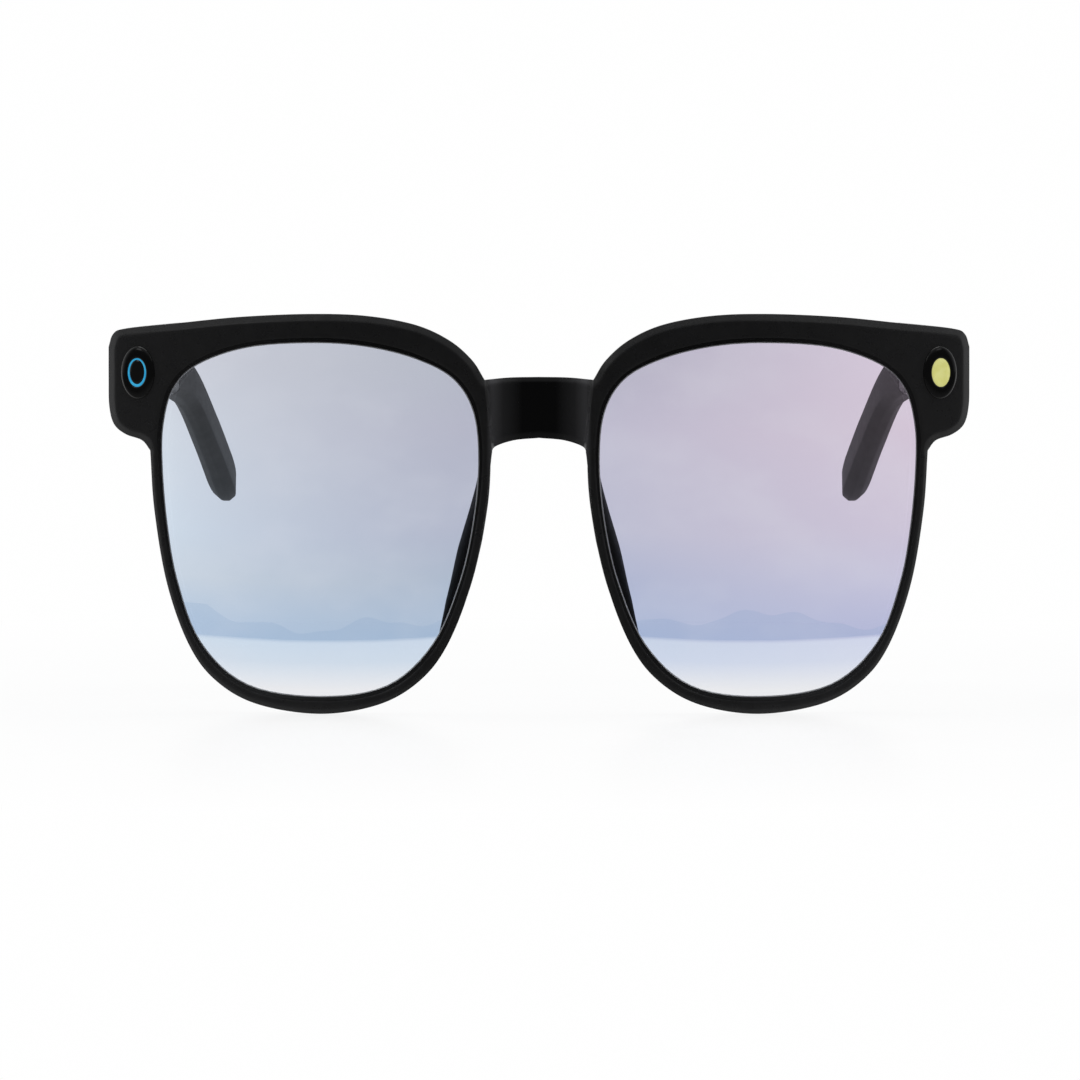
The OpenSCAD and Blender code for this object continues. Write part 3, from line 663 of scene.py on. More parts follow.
@dataclass(frozen=True)
class Finish:
    """Surface of one real material.

    Attributes:
        name: The material's name.
        color: Its screen colour.
        rough: Its middle roughness.
        metal: 1 for bare metal.
        grain: Size of the fine surface grain, mm.
        depth: Depth of that grain, mm.
        stretch: How the grain runs; a value below 1 draws it out along that axis.
        tint: How much the colour drifts from place to place.
        spread: How much the roughness drifts.
        coat: Weight of a clear coat.
        specular: Strength of the plain reflection.
        flecks: Colour of small marks, or None.
        fleck_size: Distance between the marks, mm.
        fleck_cover: Part of the surface that they take.
    """

    name: str
    color: Color
    rough: float = 0.4
    metal: float = 0.0
    grain: float = 0.12
    depth: float = 0.002
    stretch: tuple[float, float, float] = (1, 1, 1)
    tint: float = 0.1
    spread: float = 0.08
    coat: float = 0.0
    specular: float = 0.5
    flecks: Color | None = None
    fleck_size: float = 0.6
    fleck_cover: float = 0.5

    def base_color(self, g: Graph) -> bpy.types.NodeSocket:
        """Colour that drifts a little from place to place, with flecks if there are any.

        Args:
            g: The material's nodes.

        Returns:
            The colour.
        """
        dark = tuple(max(0, int(v * (1 - self.tint))) for v in self.color)
        light = tuple(min(255, int(v * (1 + self.tint)) + 1) for v in self.color)
        base = g.ramp(g.noise(COLOR_DRIFT, DRIFT_DETAIL, self.stretch), ((0.3, dark), (0.7, light)))
        if self.flecks is None:
            return base
        where = g.math("GREATER_THAN", g.noise(self.fleck_size, 1), 1 - self.fleck_cover)
        return g.blend(where, base, linear(self.flecks))

    def roughness(self, g: Graph) -> bpy.types.NodeSocket:
        """Roughness that drifts a little from place to place.

        Args:
            g: The material's nodes.

        Returns:
            The roughness.
        """
        low = max(0.02, self.rough - self.spread)
        high = min(1.0, self.rough + self.spread)
        return g.between(g.noise(GLOSS_DRIFT, DRIFT_DETAIL, self.stretch), 0.3, 0.7, low, high)

    def relief(self, g: Graph) -> bpy.types.NodeSocket:
        """Fine grain over a slow waviness.

        Args:
            g: The material's nodes.

        Returns:
            The bent normal.
        """
        slow = g.bump(g.noise(WAVINESS, 1), self.depth)
        return g.bump(g.noise(self.grain, 3, self.stretch), self.depth, slow)

    def inputs(self, g: Graph) -> dict:
        """Inputs of the main shader.

        Args:
            g: The material's nodes.

        Returns:
            Values and sockets by the input's name.
        """
        return {"Base Color": self.base_color(g), "Roughness": self.roughness(g), "Metallic": self.metal,
                "Normal": self.relief(g), "Coat Weight": self.coat, "Coat Roughness": 0.04,
                "Specular IOR Level": self.specular}

    def make(self) -> bpy.types.Material:
        """Makes the material.

        Returns:
            The material.
        """
        g = Graph(bpy.data.materials.new(self.name))
        return g.close(g.node("ShaderNodeBsdfPrincipled", self.inputs(g)))


@dataclass(frozen=True)
class FrameFinish(Finish):
    """Satin black of the front, with painted light: a little paler towards the end-pieces, and deep and
    glossy on the bridge, whose paler flanks are a painted reflection.

    Attributes:
        outer: Colour that the satin pales to towards the end-pieces, as painted light.
        bridge_painted_reflection: Painted reflection on the bridge: colours from the middle outwards, as
            shares of the reach.
        bridge_reach: Distance from the middle that counts as 1, mm.
    """

    # painted light: the satin pales to this colour towards the end-pieces
    outer: Color = (66, 66, 67)
    # painted reflection on the bridge: black in the middle, paler on the flanks
    bridge_painted_reflection: Stops = ((0.0, (1, 1, 2)), (0.28, (3, 3, 4)), (0.6, (66, 66, 68)), (0.76, (106, 106, 109)))
    bridge_reach: float = 10.0

    def base_color(self, g: Graph) -> bpy.types.NodeSocket:
        """Satin colour that pales outwards as painted light, and on the bridge a painted reflection that
        goes through a paler flank to black.

        Args:
            g: The material's nodes.

        Returns:
            The colour.
        """
        across = g.math("ABSOLUTE", g.axis("X"))
        # painted reflection on the bridge
        bridge = g.ramp(g.math("MULTIPLY", across, 1 / self.bridge_reach), self.bridge_painted_reflection)
        # painted light: the satin pales towards the end-pieces
        satin = g.blend(g.between(across, 35, 70, 0, 0.6), super().base_color(g), linear(self.outer))
        return g.blend(g.between(across, 8.0, 8.8, 1, 0), satin, bridge)

    def roughness(self, g: Graph) -> bpy.types.NodeSocket:
        """Satin roughness, lower on the bridge.

        Args:
            g: The material's nodes.

        Returns:
            The roughness.
        """
        bridge = g.between(g.math("ABSOLUTE", g.axis("X")), 8.6, 7.2, 1, 0.6)
        return g.math("MULTIPLY", super().roughness(g), bridge)


@dataclass(frozen=True)
class Glow(Finish):
    """Diffuser that gives off light of its own.

    Attributes:
        glow: Colour of the light.
        strength: How bright it is.
        edge: Colour towards the rim of the diffuser.
    """

    glow: Color = (255, 255, 255)
    strength: float = 1.0
    edge: Color = (255, 255, 255)

    def make(self) -> bpy.types.Material:
        """Makes the material.

        Returns:
            The material.
        """
        g = Graph(bpy.data.materials.new(self.name))
        light = g.ramp(g.noise(1.1, 2), ((0.3, self.edge), (0.7, self.glow)))
        return g.close(g.node("ShaderNodeBsdfPrincipled", {
            **self.inputs(g), "Emission Color": light, "Emission Strength": self.strength}))


@dataclass(frozen=True)
class LensFinish:
    """Lightly tinted lens, with a painted reflection of a horizon, hills and clouds in its colour: two
    upright gradients mixed from the temple's side to the nose.

    Attributes:
        name: The material's name.
        temporal: Heights in mm and colours on the side of the temple, from the bottom up.
        nasal: The same on the side of the nose.
        bend: How quickly the nose's colours take over; 1 is even.
        reach: Distance from the middle of the face where the temple's and the nose's colours are pure, mm.
        band: Height of the top of the pale band, a painted horizon, mm.
        arc: Half width over which the band arcs, and how far it rises there, mm.
        hills: How far above the band the painted reflection of hills starts and ends, mm.
        reflected_hill: Colour that the painted reflection of hills leans to.
        cloud: Colour that the painted reflection of clouds leans to.
        tallest: Height that counts as 1 in the gradients, mm.
    """

    name: str
    temporal: Stops
    nasal: Stops
    bend: float = 1.0
    reach: tuple[float, float] = (62.0, 12.0)
    band: float = 12.4
    arc: tuple[float, float] = (21.0, 0.9)
    hills: tuple[float, float] = (0.2, 5.2)
    reflected_hill: Color = (132, 166, 205)
    cloud: Color = (232, 234, 242)
    tallest: float = 64.0

    def height(self, g: Graph, x: bpy.types.NodeSocket) -> bpy.types.NodeSocket:
        """Height in mm, bent with the band's arc and a little uneven.

        Args:
            g: The material's nodes.
            x: Distance from the middle of the face, mm.

        Returns:
            The height.
        """
        half, rise = self.arc
        off = g.math("MULTIPLY", g.math("SUBTRACT", x, LENS_MIDDLE[0]), 1 / half)
        bent = g.math("SUBTRACT", g.axis("Z"), g.math("MULTIPLY", g.math("MULTIPLY", off, off), rise))
        return g.math("ADD", bent, g.math("MULTIPLY", g.noise(WAVINESS, 1), 0.25))

    def gradient(self, g: Graph, height: bpy.types.NodeSocket, stops: Stops) -> bpy.types.NodeSocket:
        """One upright gradient.

        Args:
            g: The material's nodes.
            height: The height, mm.
            stops: Heights in mm and colours.

        Returns:
            The colour.
        """
        upright = g.math("MULTIPLY", height, 1 / self.tallest)
        return g.ramp(upright, tuple((z / self.tallest, color) for z, color in stops))

    def tint(self, g: Graph) -> bpy.types.NodeSocket:
        """Colour of the glass, tint with a painted reflection: a soft band along the bottom, low hills on
        it, and faint clouds.

        Args:
            g: The material's nodes.

        Returns:
            The colour.
        """
        x = g.math("ABSOLUTE", g.axis("X"))
        height = self.height(g, x)
        across = g.math("POWER", g.between(x, *self.reach), self.bend)
        sky = g.blend(across, self.gradient(g, height, self.temporal), self.gradient(g, height, self.nasal))
        low, high = (self.band + rise for rise in self.hills)
        # painted reflection of low hills standing on the band
        ridge = g.between(g.noise(24, 2, (1, 0, 0)), 0.35, 0.65, low, high)
        above, below = g.math("GREATER_THAN", height, self.band), g.math("LESS_THAN", height, ridge)
        reflected_hill = g.math("MULTIPLY", g.math("MULTIPLY", below, above), 0.18)
        reflected_land = g.blend(reflected_hill, sky, linear(self.reflected_hill))
        # painted reflection of faint clouds
        cloud = g.between(g.noise(16, 3, (1, 1, 1.6)), 0.45, 0.75, 0.0, 0.16)
        return g.blend(cloud, reflected_land, linear(self.cloud))

    def make(self) -> bpy.types.Material:
        """Makes the material.

        Returns:
            The material.
        """
        g = Graph(bpy.data.materials.new(self.name))
        tint = self.tint(g)
        faint = g.bump(g.noise(9, 1), 0.0006)
        glass = g.node("ShaderNodeBsdfPrincipled", {
            "Base Color": tint, "Roughness": g.between(g.noise(3, 2), 0.4, 0.8, 0.0, 0.012), "IOR": 1.5,
            "Transmission Weight": 1.0, "Normal": faint})
        clear = g.node("ShaderNodeBsdfTransparent", {"Color": tint})
        shade = g.node("ShaderNodeLightPath").outputs["Is Shadow Ray"]
        return g.close(g.node("ShaderNodeMixShader", {0: shade, 1: glass.outputs[0], 2: clear.outputs[0]}))


@dataclass(frozen=True)
class Brushed(Finish):
    """Metal with fine lines drawn along one axis and small scuffs."""

    def relief(self, g: Graph) -> bpy.types.NodeSocket:
        """Lines over a few shallow scuffs.

        Args:
            g: The material's nodes.

        Returns:
            The bent normal.
        """
        scuffs = g.bump(g.between(g.noise(0.9, 2), 0.62, 0.7), self.depth * 2)
        return g.bump(g.noise(self.grain, 2, self.stretch), self.depth, scuffs)


@dataclass(frozen=True)
class Board(Finish):
    """Circuit board with copper tracks and pads under the mask.

    Attributes:
        track_scale: Scale of the texture that draws the tracks; 320 sets them 1 mm apart.
        raised: How much lighter the mask is over a track.
        pad_scale: Cells to the metre of the texture that draws the pads, one in each cell.
        pad: Colour of the pads.
    """

    track_scale: float = 320.0
    raised: int = 26
    pad_scale: float = 1500.0
    pad: Color = (196, 168, 96)

    def base_color(self, g: Graph) -> bpy.types.NodeSocket:
        """Mask colour, lighter over the tracks, with bright pads.

        Args:
            g: The material's nodes.

        Returns:
            The colour.
        """
        wave = g.node("ShaderNodeTexWave", {"Vector": g.place, "Scale": self.track_scale, "Distortion": 7.0,
                                            "Detail": 1.0}, bands_direction="DIAGONAL")
        tracks = g.between(wave.outputs[1], 0.55, 0.65)
        lighter = tuple(min(255, v + self.raised) for v in self.color)
        base = g.blend(tracks, linear(self.color), linear(lighter))
        cells = g.node("ShaderNodeTexVoronoi", {"Vector": g.place, "Scale": self.pad_scale})
        return g.blend(g.math("LESS_THAN", cells.outputs[0], 0.16), base, linear(self.pad))


@dataclass(frozen=True)
class Layered(Finish):
    """Foil or flexible cable with fine lines that run one way.

    Attributes:
        line: Colour of the lines.
        pitch: Distance between them, mm.
    """

    line: Color = (90, 60, 30)
    pitch: float = 0.5

    def base_color(self, g: Graph) -> bpy.types.NodeSocket:
        """Colour with thin lines along the length.

        Args:
            g: The material's nodes.

        Returns:
            The colour.
        """
        # a wave texture at scale 1 has 3.2 lines to the metre
        scale = 1 / (self.pitch * MM * 3.2)
        wave = g.node("ShaderNodeTexWave", {"Vector": g.place, "Scale": scale, "Distortion": 0.4},
                      bands_direction="Z")
        return g.blend(g.between(wave.outputs[1], 0.7, 0.8), super().base_color(g), linear(self.line))


def lens_tints() -> dict[Side, LensFinish]:
    """The two lenses' tints, with a painted reflection in them: cool on the right and rosy on the left, with
    the same pale foot.

    Returns:
        A finish for each side.
    """
    foot = ((0.0, (246, 247, 249)), (4.0, (243, 244, 247)))
    # the dark step at 12.4 mm in each list is a painted reflection of the horizon
    right_temporal = (
        *foot, (6, (234, 240, 248)), (8.7, (218, 230, 243)), (11.9, (213, 229, 244)),
        (12.4, (188, 208, 232)), (15, (192, 211, 233)), (22, (210, 222, 235)),
        (30, (214, 227, 241)), (47, (217, 225, 236)), (59, (214, 217, 228)))
    right_nasal = (
        *foot, (6, (230, 236, 244)), (8.7, (213, 226, 241)), (11.9, (208, 222, 240)),
        (12.4, (174, 194, 219)), (22, (180, 192, 211)), (30, (183, 189, 209)),
        (47, (187, 189, 206)), (59, (188, 192, 205)))
    left_temporal = (
        *foot, (8.7, (221, 226, 243)), (11.9, (217, 222, 243)), (12.4, (187, 191, 223)),
        (22, (206, 203, 226)), (30, (211, 202, 222)), (47, (218, 204, 221)), (59, (221, 208, 225)))
    left_nasal = (
        *foot, (8.7, (211, 222, 241)), (11.9, (207, 219, 238)), (12.4, (178, 192, 222)),
        (22, (183, 190, 216)), (30, (196, 197, 217)), (47, (197, 194, 213)), (59, (186, 184, 202)))
    return {Side.RIGHT: LensFinish("right_lens_glass", right_temporal, right_nasal, bend=0.65),
            Side.LEFT: LensFinish("left_lens_glass", left_temporal, left_nasal)}


def plastics() -> dict[str, Finish]:
    """Finishes of the mouldings, the rubber, the bezels and the windows, by material slot."""
    return {
        # the front's finish holds painted light: paler towards the end-pieces, and a painted reflection on
        # the bridge
        "front_plastic": FrameFinish("satin_black", (50, 50, 51), rough=0.3, grain=0.3, depth=0.0016,
                                     tint=0.05, spread=0.05),
        "temple_plastic": Finish("satin_black_temple", (23, 23, 24), rough=0.36, grain=0.3,
                                 depth=0.0018, tint=0.05, spread=0.03, specular=0.38),
        "cover_plastic": Finish("matte_black_cover", (24, 24, 25), rough=0.5, grain=0.2, depth=0.003,
                                tint=0.05, spread=0.03, specular=0.4),
        "soft_tip": Finish("soft_rubber", (54, 54, 53), rough=0.58, grain=0.25, depth=0.004,
                           tint=0.05, spread=0.03, specular=0.25),
        "nose_pad": Finish("nose_pad_rubber", (11, 11, 12), rough=0.6, grain=0.2, depth=0.004,
                           tint=0.12, specular=0.06),
        "gloss_black": Finish("gloss_black", (9, 9, 10), rough=0.16, grain=0.5, depth=0.0004,
                              tint=0.2, spread=0.03, coat=0.2),
        "camera_glass": Finish("camera_window_glass", (4, 4, 7), rough=0.06, grain=0.8, depth=0.0002,
                               tint=0.3, spread=0.02, coat=1.0),
        "light_ring": Glow("light_ring", (60, 160, 205), glow=(64, 190, 240), edge=(44, 170, 226),
                           strength=0.62),
        "lamp_window": Glow("lamp_diffuser", (232, 230, 150), rough=0.45, glow=(244, 244, 160),
                            edge=(236, 234, 138), strength=0.55),
    }


def inner_parts() -> dict[str, Finish]:
    """Finishes of the metal, the boards and what they carry, by material slot."""
    return {
        "steel": Brushed("brushed_steel", (176, 177, 180), rough=0.3, metal=1, grain=0.05,
                         depth=0.001, stretch=(1, 0.08, 1)),
        "black_metal": Brushed("blackened_steel", (58, 58, 61), rough=0.36, metal=1, grain=0.06,
                               depth=0.0015, stretch=(1, 0.1, 1)),
        "wire": Brushed("drawn_wire", (150, 151, 155), rough=0.28, metal=1, grain=0.04,
                        depth=0.001, stretch=(1, 0.04, 1)),
        "board": Board("circuit_board", (16, 62, 44), rough=0.42, grain=0.2, depth=0.004),
        "cell": Layered("pouch_cell", (172, 174, 178), rough=0.36, metal=0.9, line=(120, 122, 128),
                        pitch=1.6, depth=0.006),
        "flex": Layered("polyimide_flex", (176, 104, 34), rough=0.32, line=(120, 66, 20),
                        pitch=0.35, coat=0.3),
        "gold": Brushed("gold_plate", (214, 172, 92), rough=0.26, metal=1, grain=0.06,
                        depth=0.001, stretch=(1, 1, 0.2)),
        "magnet": Brushed("nickel_plate", (160, 161, 164), rough=0.34, metal=1, grain=0.2),
        "speaker": Finish("speaker_body", (26, 26, 28), rough=0.48, grain=0.3, depth=0.006,
                          flecks=(60, 60, 64), fleck_size=0.25, fleck_cover=0.42),
        "sensor_glass": Finish("infrared_window", (36, 6, 12), rough=0.1, grain=0.6,
                               depth=0.0004, coat=0.8),
    }


class Palette:
    """Every material of the glasses.

    Attributes:
        slots: The materials by slot.
        lens: The glass of each lens.
        lens_edge: The pale bead at the edge of both lenses, a painted highlight.
        rim_bevel_painted_shade: The bevel of the rim round a lens, a darker copy of the front's black:
            painted shade.
    """

    def __init__(self) -> None:
        """Makes the materials once."""
        self.slots = {name: finish.make() for name, finish in (plastics() | inner_parts()).items()}
        self.lens = {side: finish.make() for side, finish in lens_tints().items()}
        self.slots["lens_glass"] = self.lens[Side.RIGHT]
        # the lens bead's near white is a painted highlight
        self.lens_edge = Finish("polished_lens_edge", (236, 238, 242), rough=0.24, grain=0.2,
                                depth=0.001, tint=0.06).make()
        # a darker copy of the front's black for the bevel round a lens: painted shade
        self.rim_bevel_painted_shade = FrameFinish("rim_bevel_black", (12, 12, 13), rough=0.42, grain=0.1,
                                     depth=0.0012, tint=0.08, spread=0.04, specular=0.18).make()

    def __getitem__(self, slot: str) -> bpy.types.Material:
        """The material of a slot."""
        return self.slots[slot]


# ---- Measurements shared with the frame -------------------------------------------------------


def side_of(node: str, axis: int, high: bool) -> float:
    """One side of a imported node's box.

    Args:
        node: The node's name.
        axis: 0 for X, 1 for Y and 2 for Z.
        high: Whether it is the side with the larger value.

    Returns:
        Where the side lies, to a tenth of a mm.
    """
    return round(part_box(node)[int(high)][axis] / MM, 1)


FRONT_Y = -72.0          # middle of the bridge's face
WRAP = 180.0             # radius that the whole front is bent to
RIM_DEPTH = 4.5
LENS_DEPTH = (1.3, 3.3)  # front and back of a lens behind the face
HALF_WIDTH = side_of("front_frame", 0, True)
POD_BACK = side_of("front_frame", 1, True)             # back of the end-pieces
BUTT = side_of("temple_shell_left", 1, False)          # front end of a temple
TIP_START = side_of("ear_tip_left", 1, False)          # where the soft tip begins
LEAF_END = side_of("temple_hinge_left", 1, True)       # back end of the hinge's leaf in the temple
LEAF_Z = (side_of("temple_hinge_left", 2, False), side_of("temple_hinge_left", 2, True))
COVER_PLAY = 0.05        # gap at either end of a temple's cover
POCKET = (round(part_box("temple_cover_left")[0].y / MM - COVER_PLAY, 1),
          round(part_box("temple_cover_left")[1].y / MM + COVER_PLAY, 1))

BROW_FOOT = (9.1, 56)    # where the bridge's top meets the brow
ARCH_END = (7.9, 43.5)   # where the bridge's arch meets the rim
POD_TOP = (72.5, 61.4)   # where the brow turns down into the end-piece's side
POD_FOOT = (65.4, 44)    # where the end-piece meets the rim
LENS_LOOP = smooth_loop([
    (38.2, 62.3), (49, 61.5), (57.4, 58.6), (61.6, 54.5), (63.3, 48.5), (63.5, 42), (62.7, 32),
    (60.9, 22), (56.9, 11.7), (49, 4.7), (36.8, 2.8), (25.4, 4.7), (17.7, 11.7), (13.2, 22),
    (10.9, 32), (10, 42), (10.8, 50.5), (14.2, 56.2), (20.5, 59.6), (29, 61.7)])
LENS_MIDDLE = np.array([36.75, 32.55])
LENS_HALF = np.array([26.85, 29.75])
BRIDGE_TOP = smooth([(0, 56.5), (5, 56.4), BROW_FOOT])
OUTER_LINE = np.vstack([
    smooth([BROW_FOOT, (11.2, 59.3), (15, 62.6), (20.7, 65.2), (29, 66.7), (38.5, 67), (50, 66.5),
            (60, 65.5), (69.5, 64.5), (71.7, 63.6), POD_TOP])[:-1],
    smooth([POD_TOP, (72.5, 56), (72.4, 51.5), (71.6, 48.4), (69.6, 46.7), (66.8, 45.7), POD_FOOT])[:-1],
    smooth([POD_FOOT, (64.7, 34), (62.6, 21.8), (59, 11.7), (54.5, 5.6), (47.5, 1.6), (36.8, 0),
            (26.9, 1.6), (20, 5.6), (15.3, 11.7), (11.4, 21.8), (9, 34), ARCH_END])])
BRIDGE_ARCH = smooth([ARCH_END, (7.4, 44.8), (4.2, 45.9), (0, 46.3)])

# The left temple from the hinge to the end of the tip: how far behind the front's face and how far in from
# its side each station lies, its height, and half its thickness and height
TEMPLE_STATIONS = [
    (25.3, 3.2, 56.6, 3.0, 7.0), (44, 3.3, 56.8, 2.95, 6.5), (62, 3.8, 57.1, 2.8, 5.7),
    (80, 4.7, 57.2, 2.7, 4.9), (97, 6.5, 56.8, 2.5, 4.3), (112, 10.1, 53.6, 2.3, 4.1),
    (126, 13.3, 45.4, 2.3, 4.1), (140, 16.2, 36.3, 2.35, 4.1)]
SPINE = smooth([(HALF_WIDTH - inset, FRONT_Y + back, z, thick, high)
                for back, inset, z, thick, high in TEMPLE_STATIONS], 24)


def on_front(x: np.ndarray, z: np.ndarray, depth: np.ndarray | float) -> np.ndarray:
    """Points at a depth behind the curved face.

    Args:
        x: Across.
        z: Up.
        depth: How far behind the face.

    Returns:
        X, Y and Z in metres, in an array one longer than x.
    """
    y = FRONT_Y + WRAP - np.sqrt((WRAP - depth) ** 2 - x**2)
    return np.stack([x, y, z], axis=-1) * MM


def spine_at(y: np.ndarray | float) -> np.ndarray:
    """X, half thickness, height and half height of the left temple at each Y: columns x, z, thick, high."""
    return np.stack([np.interp(y, SPINE[:, 1], SPINE[:, k]) for k in (0, 2, 3, 4)], axis=-1)


# ---- Workshop ---------------------------------------------------------------------------------


@dataclass
class Workshop:
    """Puts finished pieces into the scene and onto the frame's bodies.

    Attributes:
        palette: The finishes.
        nodes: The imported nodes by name.
        pieces: How many pieces have been placed.
        left_over: Nodes that no piece has replaced or dressed.
    """

    palette: Palette
    nodes: dict[str, bpy.types.Object]
    pieces: int = 0
    left_over: set[str] = field(init=False)

    def __post_init__(self) -> None:
        """Starts with every node left over."""
        self.left_over = set(self.nodes)

    def place(self, mesh: bpy.types.Mesh, body: str, slot: str, replaces: tuple[str, ...],
              finishes: list[bpy.types.Material] | None = None) -> None:
        """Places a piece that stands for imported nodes.

        Args:
            mesh: The piece's mesh, in the shared frame.
            body: The body that it moves with.
            slot: The record's slot for its finish.
            replaces: The nodes that it stands for.
            finishes: Its materials, when it has more than the slot's own.
        """
        made = bpy.data.objects.new(mesh.name, mesh)
        bpy.context.scene.collection.objects.link(made)
        for finish in finishes or [self.palette[slot]]:
            mesh.materials.append(finish)
        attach(made, body)
        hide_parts(*replaces)
        self.left_over -= set(replaces)
        self.pieces += 1
        LOG.info("%s: %d faces, rides %s", mesh.name, len(mesh.polygons), body)

    def dress(self, node: str, slot: str, edge: float, segments: int = 2) -> None:
        """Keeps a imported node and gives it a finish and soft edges.

        Args:
            node: The node's name.
            slot: The record's slot for its finish.
            edge: Width of the softened edges in mm; 0 leaves them sharp.
            segments: Steps in each soft edge.
        """
        kept = self.nodes[node]
        kept.data.materials.clear()
        kept.data.materials.append(self.palette[slot])
        weld = kept.modifiers.new("weld", "WELD")
        weld.merge_threshold = 2e-6
        if edge:
            bevel = kept.modifiers.new("soft_edges", "BEVEL")
            bevel.width = edge * MM
            bevel.segments = segments
            bevel.limit_method = "ANGLE"
            bevel.angle_limit = math.radians(38)
        self.left_over.discard(node)
        LOG.info("%s: dressed with %s", node, slot)

    def cut(self, mesh: bpy.types.Mesh, cutter: Sheets) -> bpy.types.Mesh:
        """Takes a cutter away from a mesh.

        Args:
            mesh: The mesh to cut.
            cutter: The closed shape to take away.

        Returns:
            The cut mesh, under the same name.
        """
        target = bpy.data.objects.new("cut_target", mesh)
        tool = bpy.data.objects.new("cut_tool", cutter.mesh("cut_tool", 30))
        for item in (target, tool):
            bpy.context.scene.collection.objects.link(item)
        step = target.modifiers.new("cut", "BOOLEAN")
        step.object = tool
        step.operation = "DIFFERENCE"
        step.solver = "EXACT"
        bpy.context.view_layer.update()
        graph = bpy.context.evaluated_depsgraph_get()
        result = bpy.data.meshes.new_from_object(target.evaluated_get(graph))
        name = mesh.name
        for item in (target, tool):
            bpy.data.objects.remove(item)
        bpy.data.meshes.remove(mesh)
        result.name = name
        return result


# ---- Front ------------------------------------------------------------------------------------

# Where the outline and the lens opening face each other, going round from the bridge and back to it
FACING = [
    (BROW_FOOT, (13.6, 55.6)), ((11.2, 59.3), (16.2, 57.6)), ((15, 62.6), (19, 59.1)),
    ((20.7, 65.2), (23.2, 60.5)), ((29, 66.7), (29.6, 61.8)), ((38.5, 67), (38.4, 62.3)),
    ((50, 66.5), (49.3, 61.4)), ((56, 65.9), (55.2, 59.9)), ((60.8, 65.4), (59.6, 57.2)),
    ((69.5, 64.5), (60.6, 56.1)), ((71.7, 63.6), (61.0, 55.6)), (POD_TOP, (61.5, 54.8)),
    ((72.5, 56), (62.2, 53)), ((72.4, 51.5), (62.7, 51.4)), ((71.6, 48.4), (63, 49.8)),
    ((69.6, 46.7), (63.3, 48.2)), ((66.8, 45.7), (63.45, 46)), (POD_FOOT, (63.5, 43.4)),
    ((64.7, 34), (62.9, 34)), ((62.6, 21.8), (60.9, 22)), ((59, 11.7), (57.4, 12.6)),
    ((54.5, 5.6), (53, 7.4)), ((47.5, 1.6), (46.8, 4)), ((36.8, 0), (36.8, 2.8)),
    ((26.9, 1.6), (27.6, 4)), ((20, 5.6), (21.5, 7.3)), ((15.3, 11.7), (17.1, 12.8)),
    ((11.4, 21.8), (13.2, 22)), ((9, 34), (10.6, 34)), (ARCH_END, (10.05, 43.6)),
    (BROW_FOOT, (13.6, 55.6))]
POD_STRETCHES = range(8, 16)        # pairs of FACING between which the end-piece stands
BRIDGE_STRETCH = len(FACING) - 2    # the last stretch, where the bridge leaves the rim


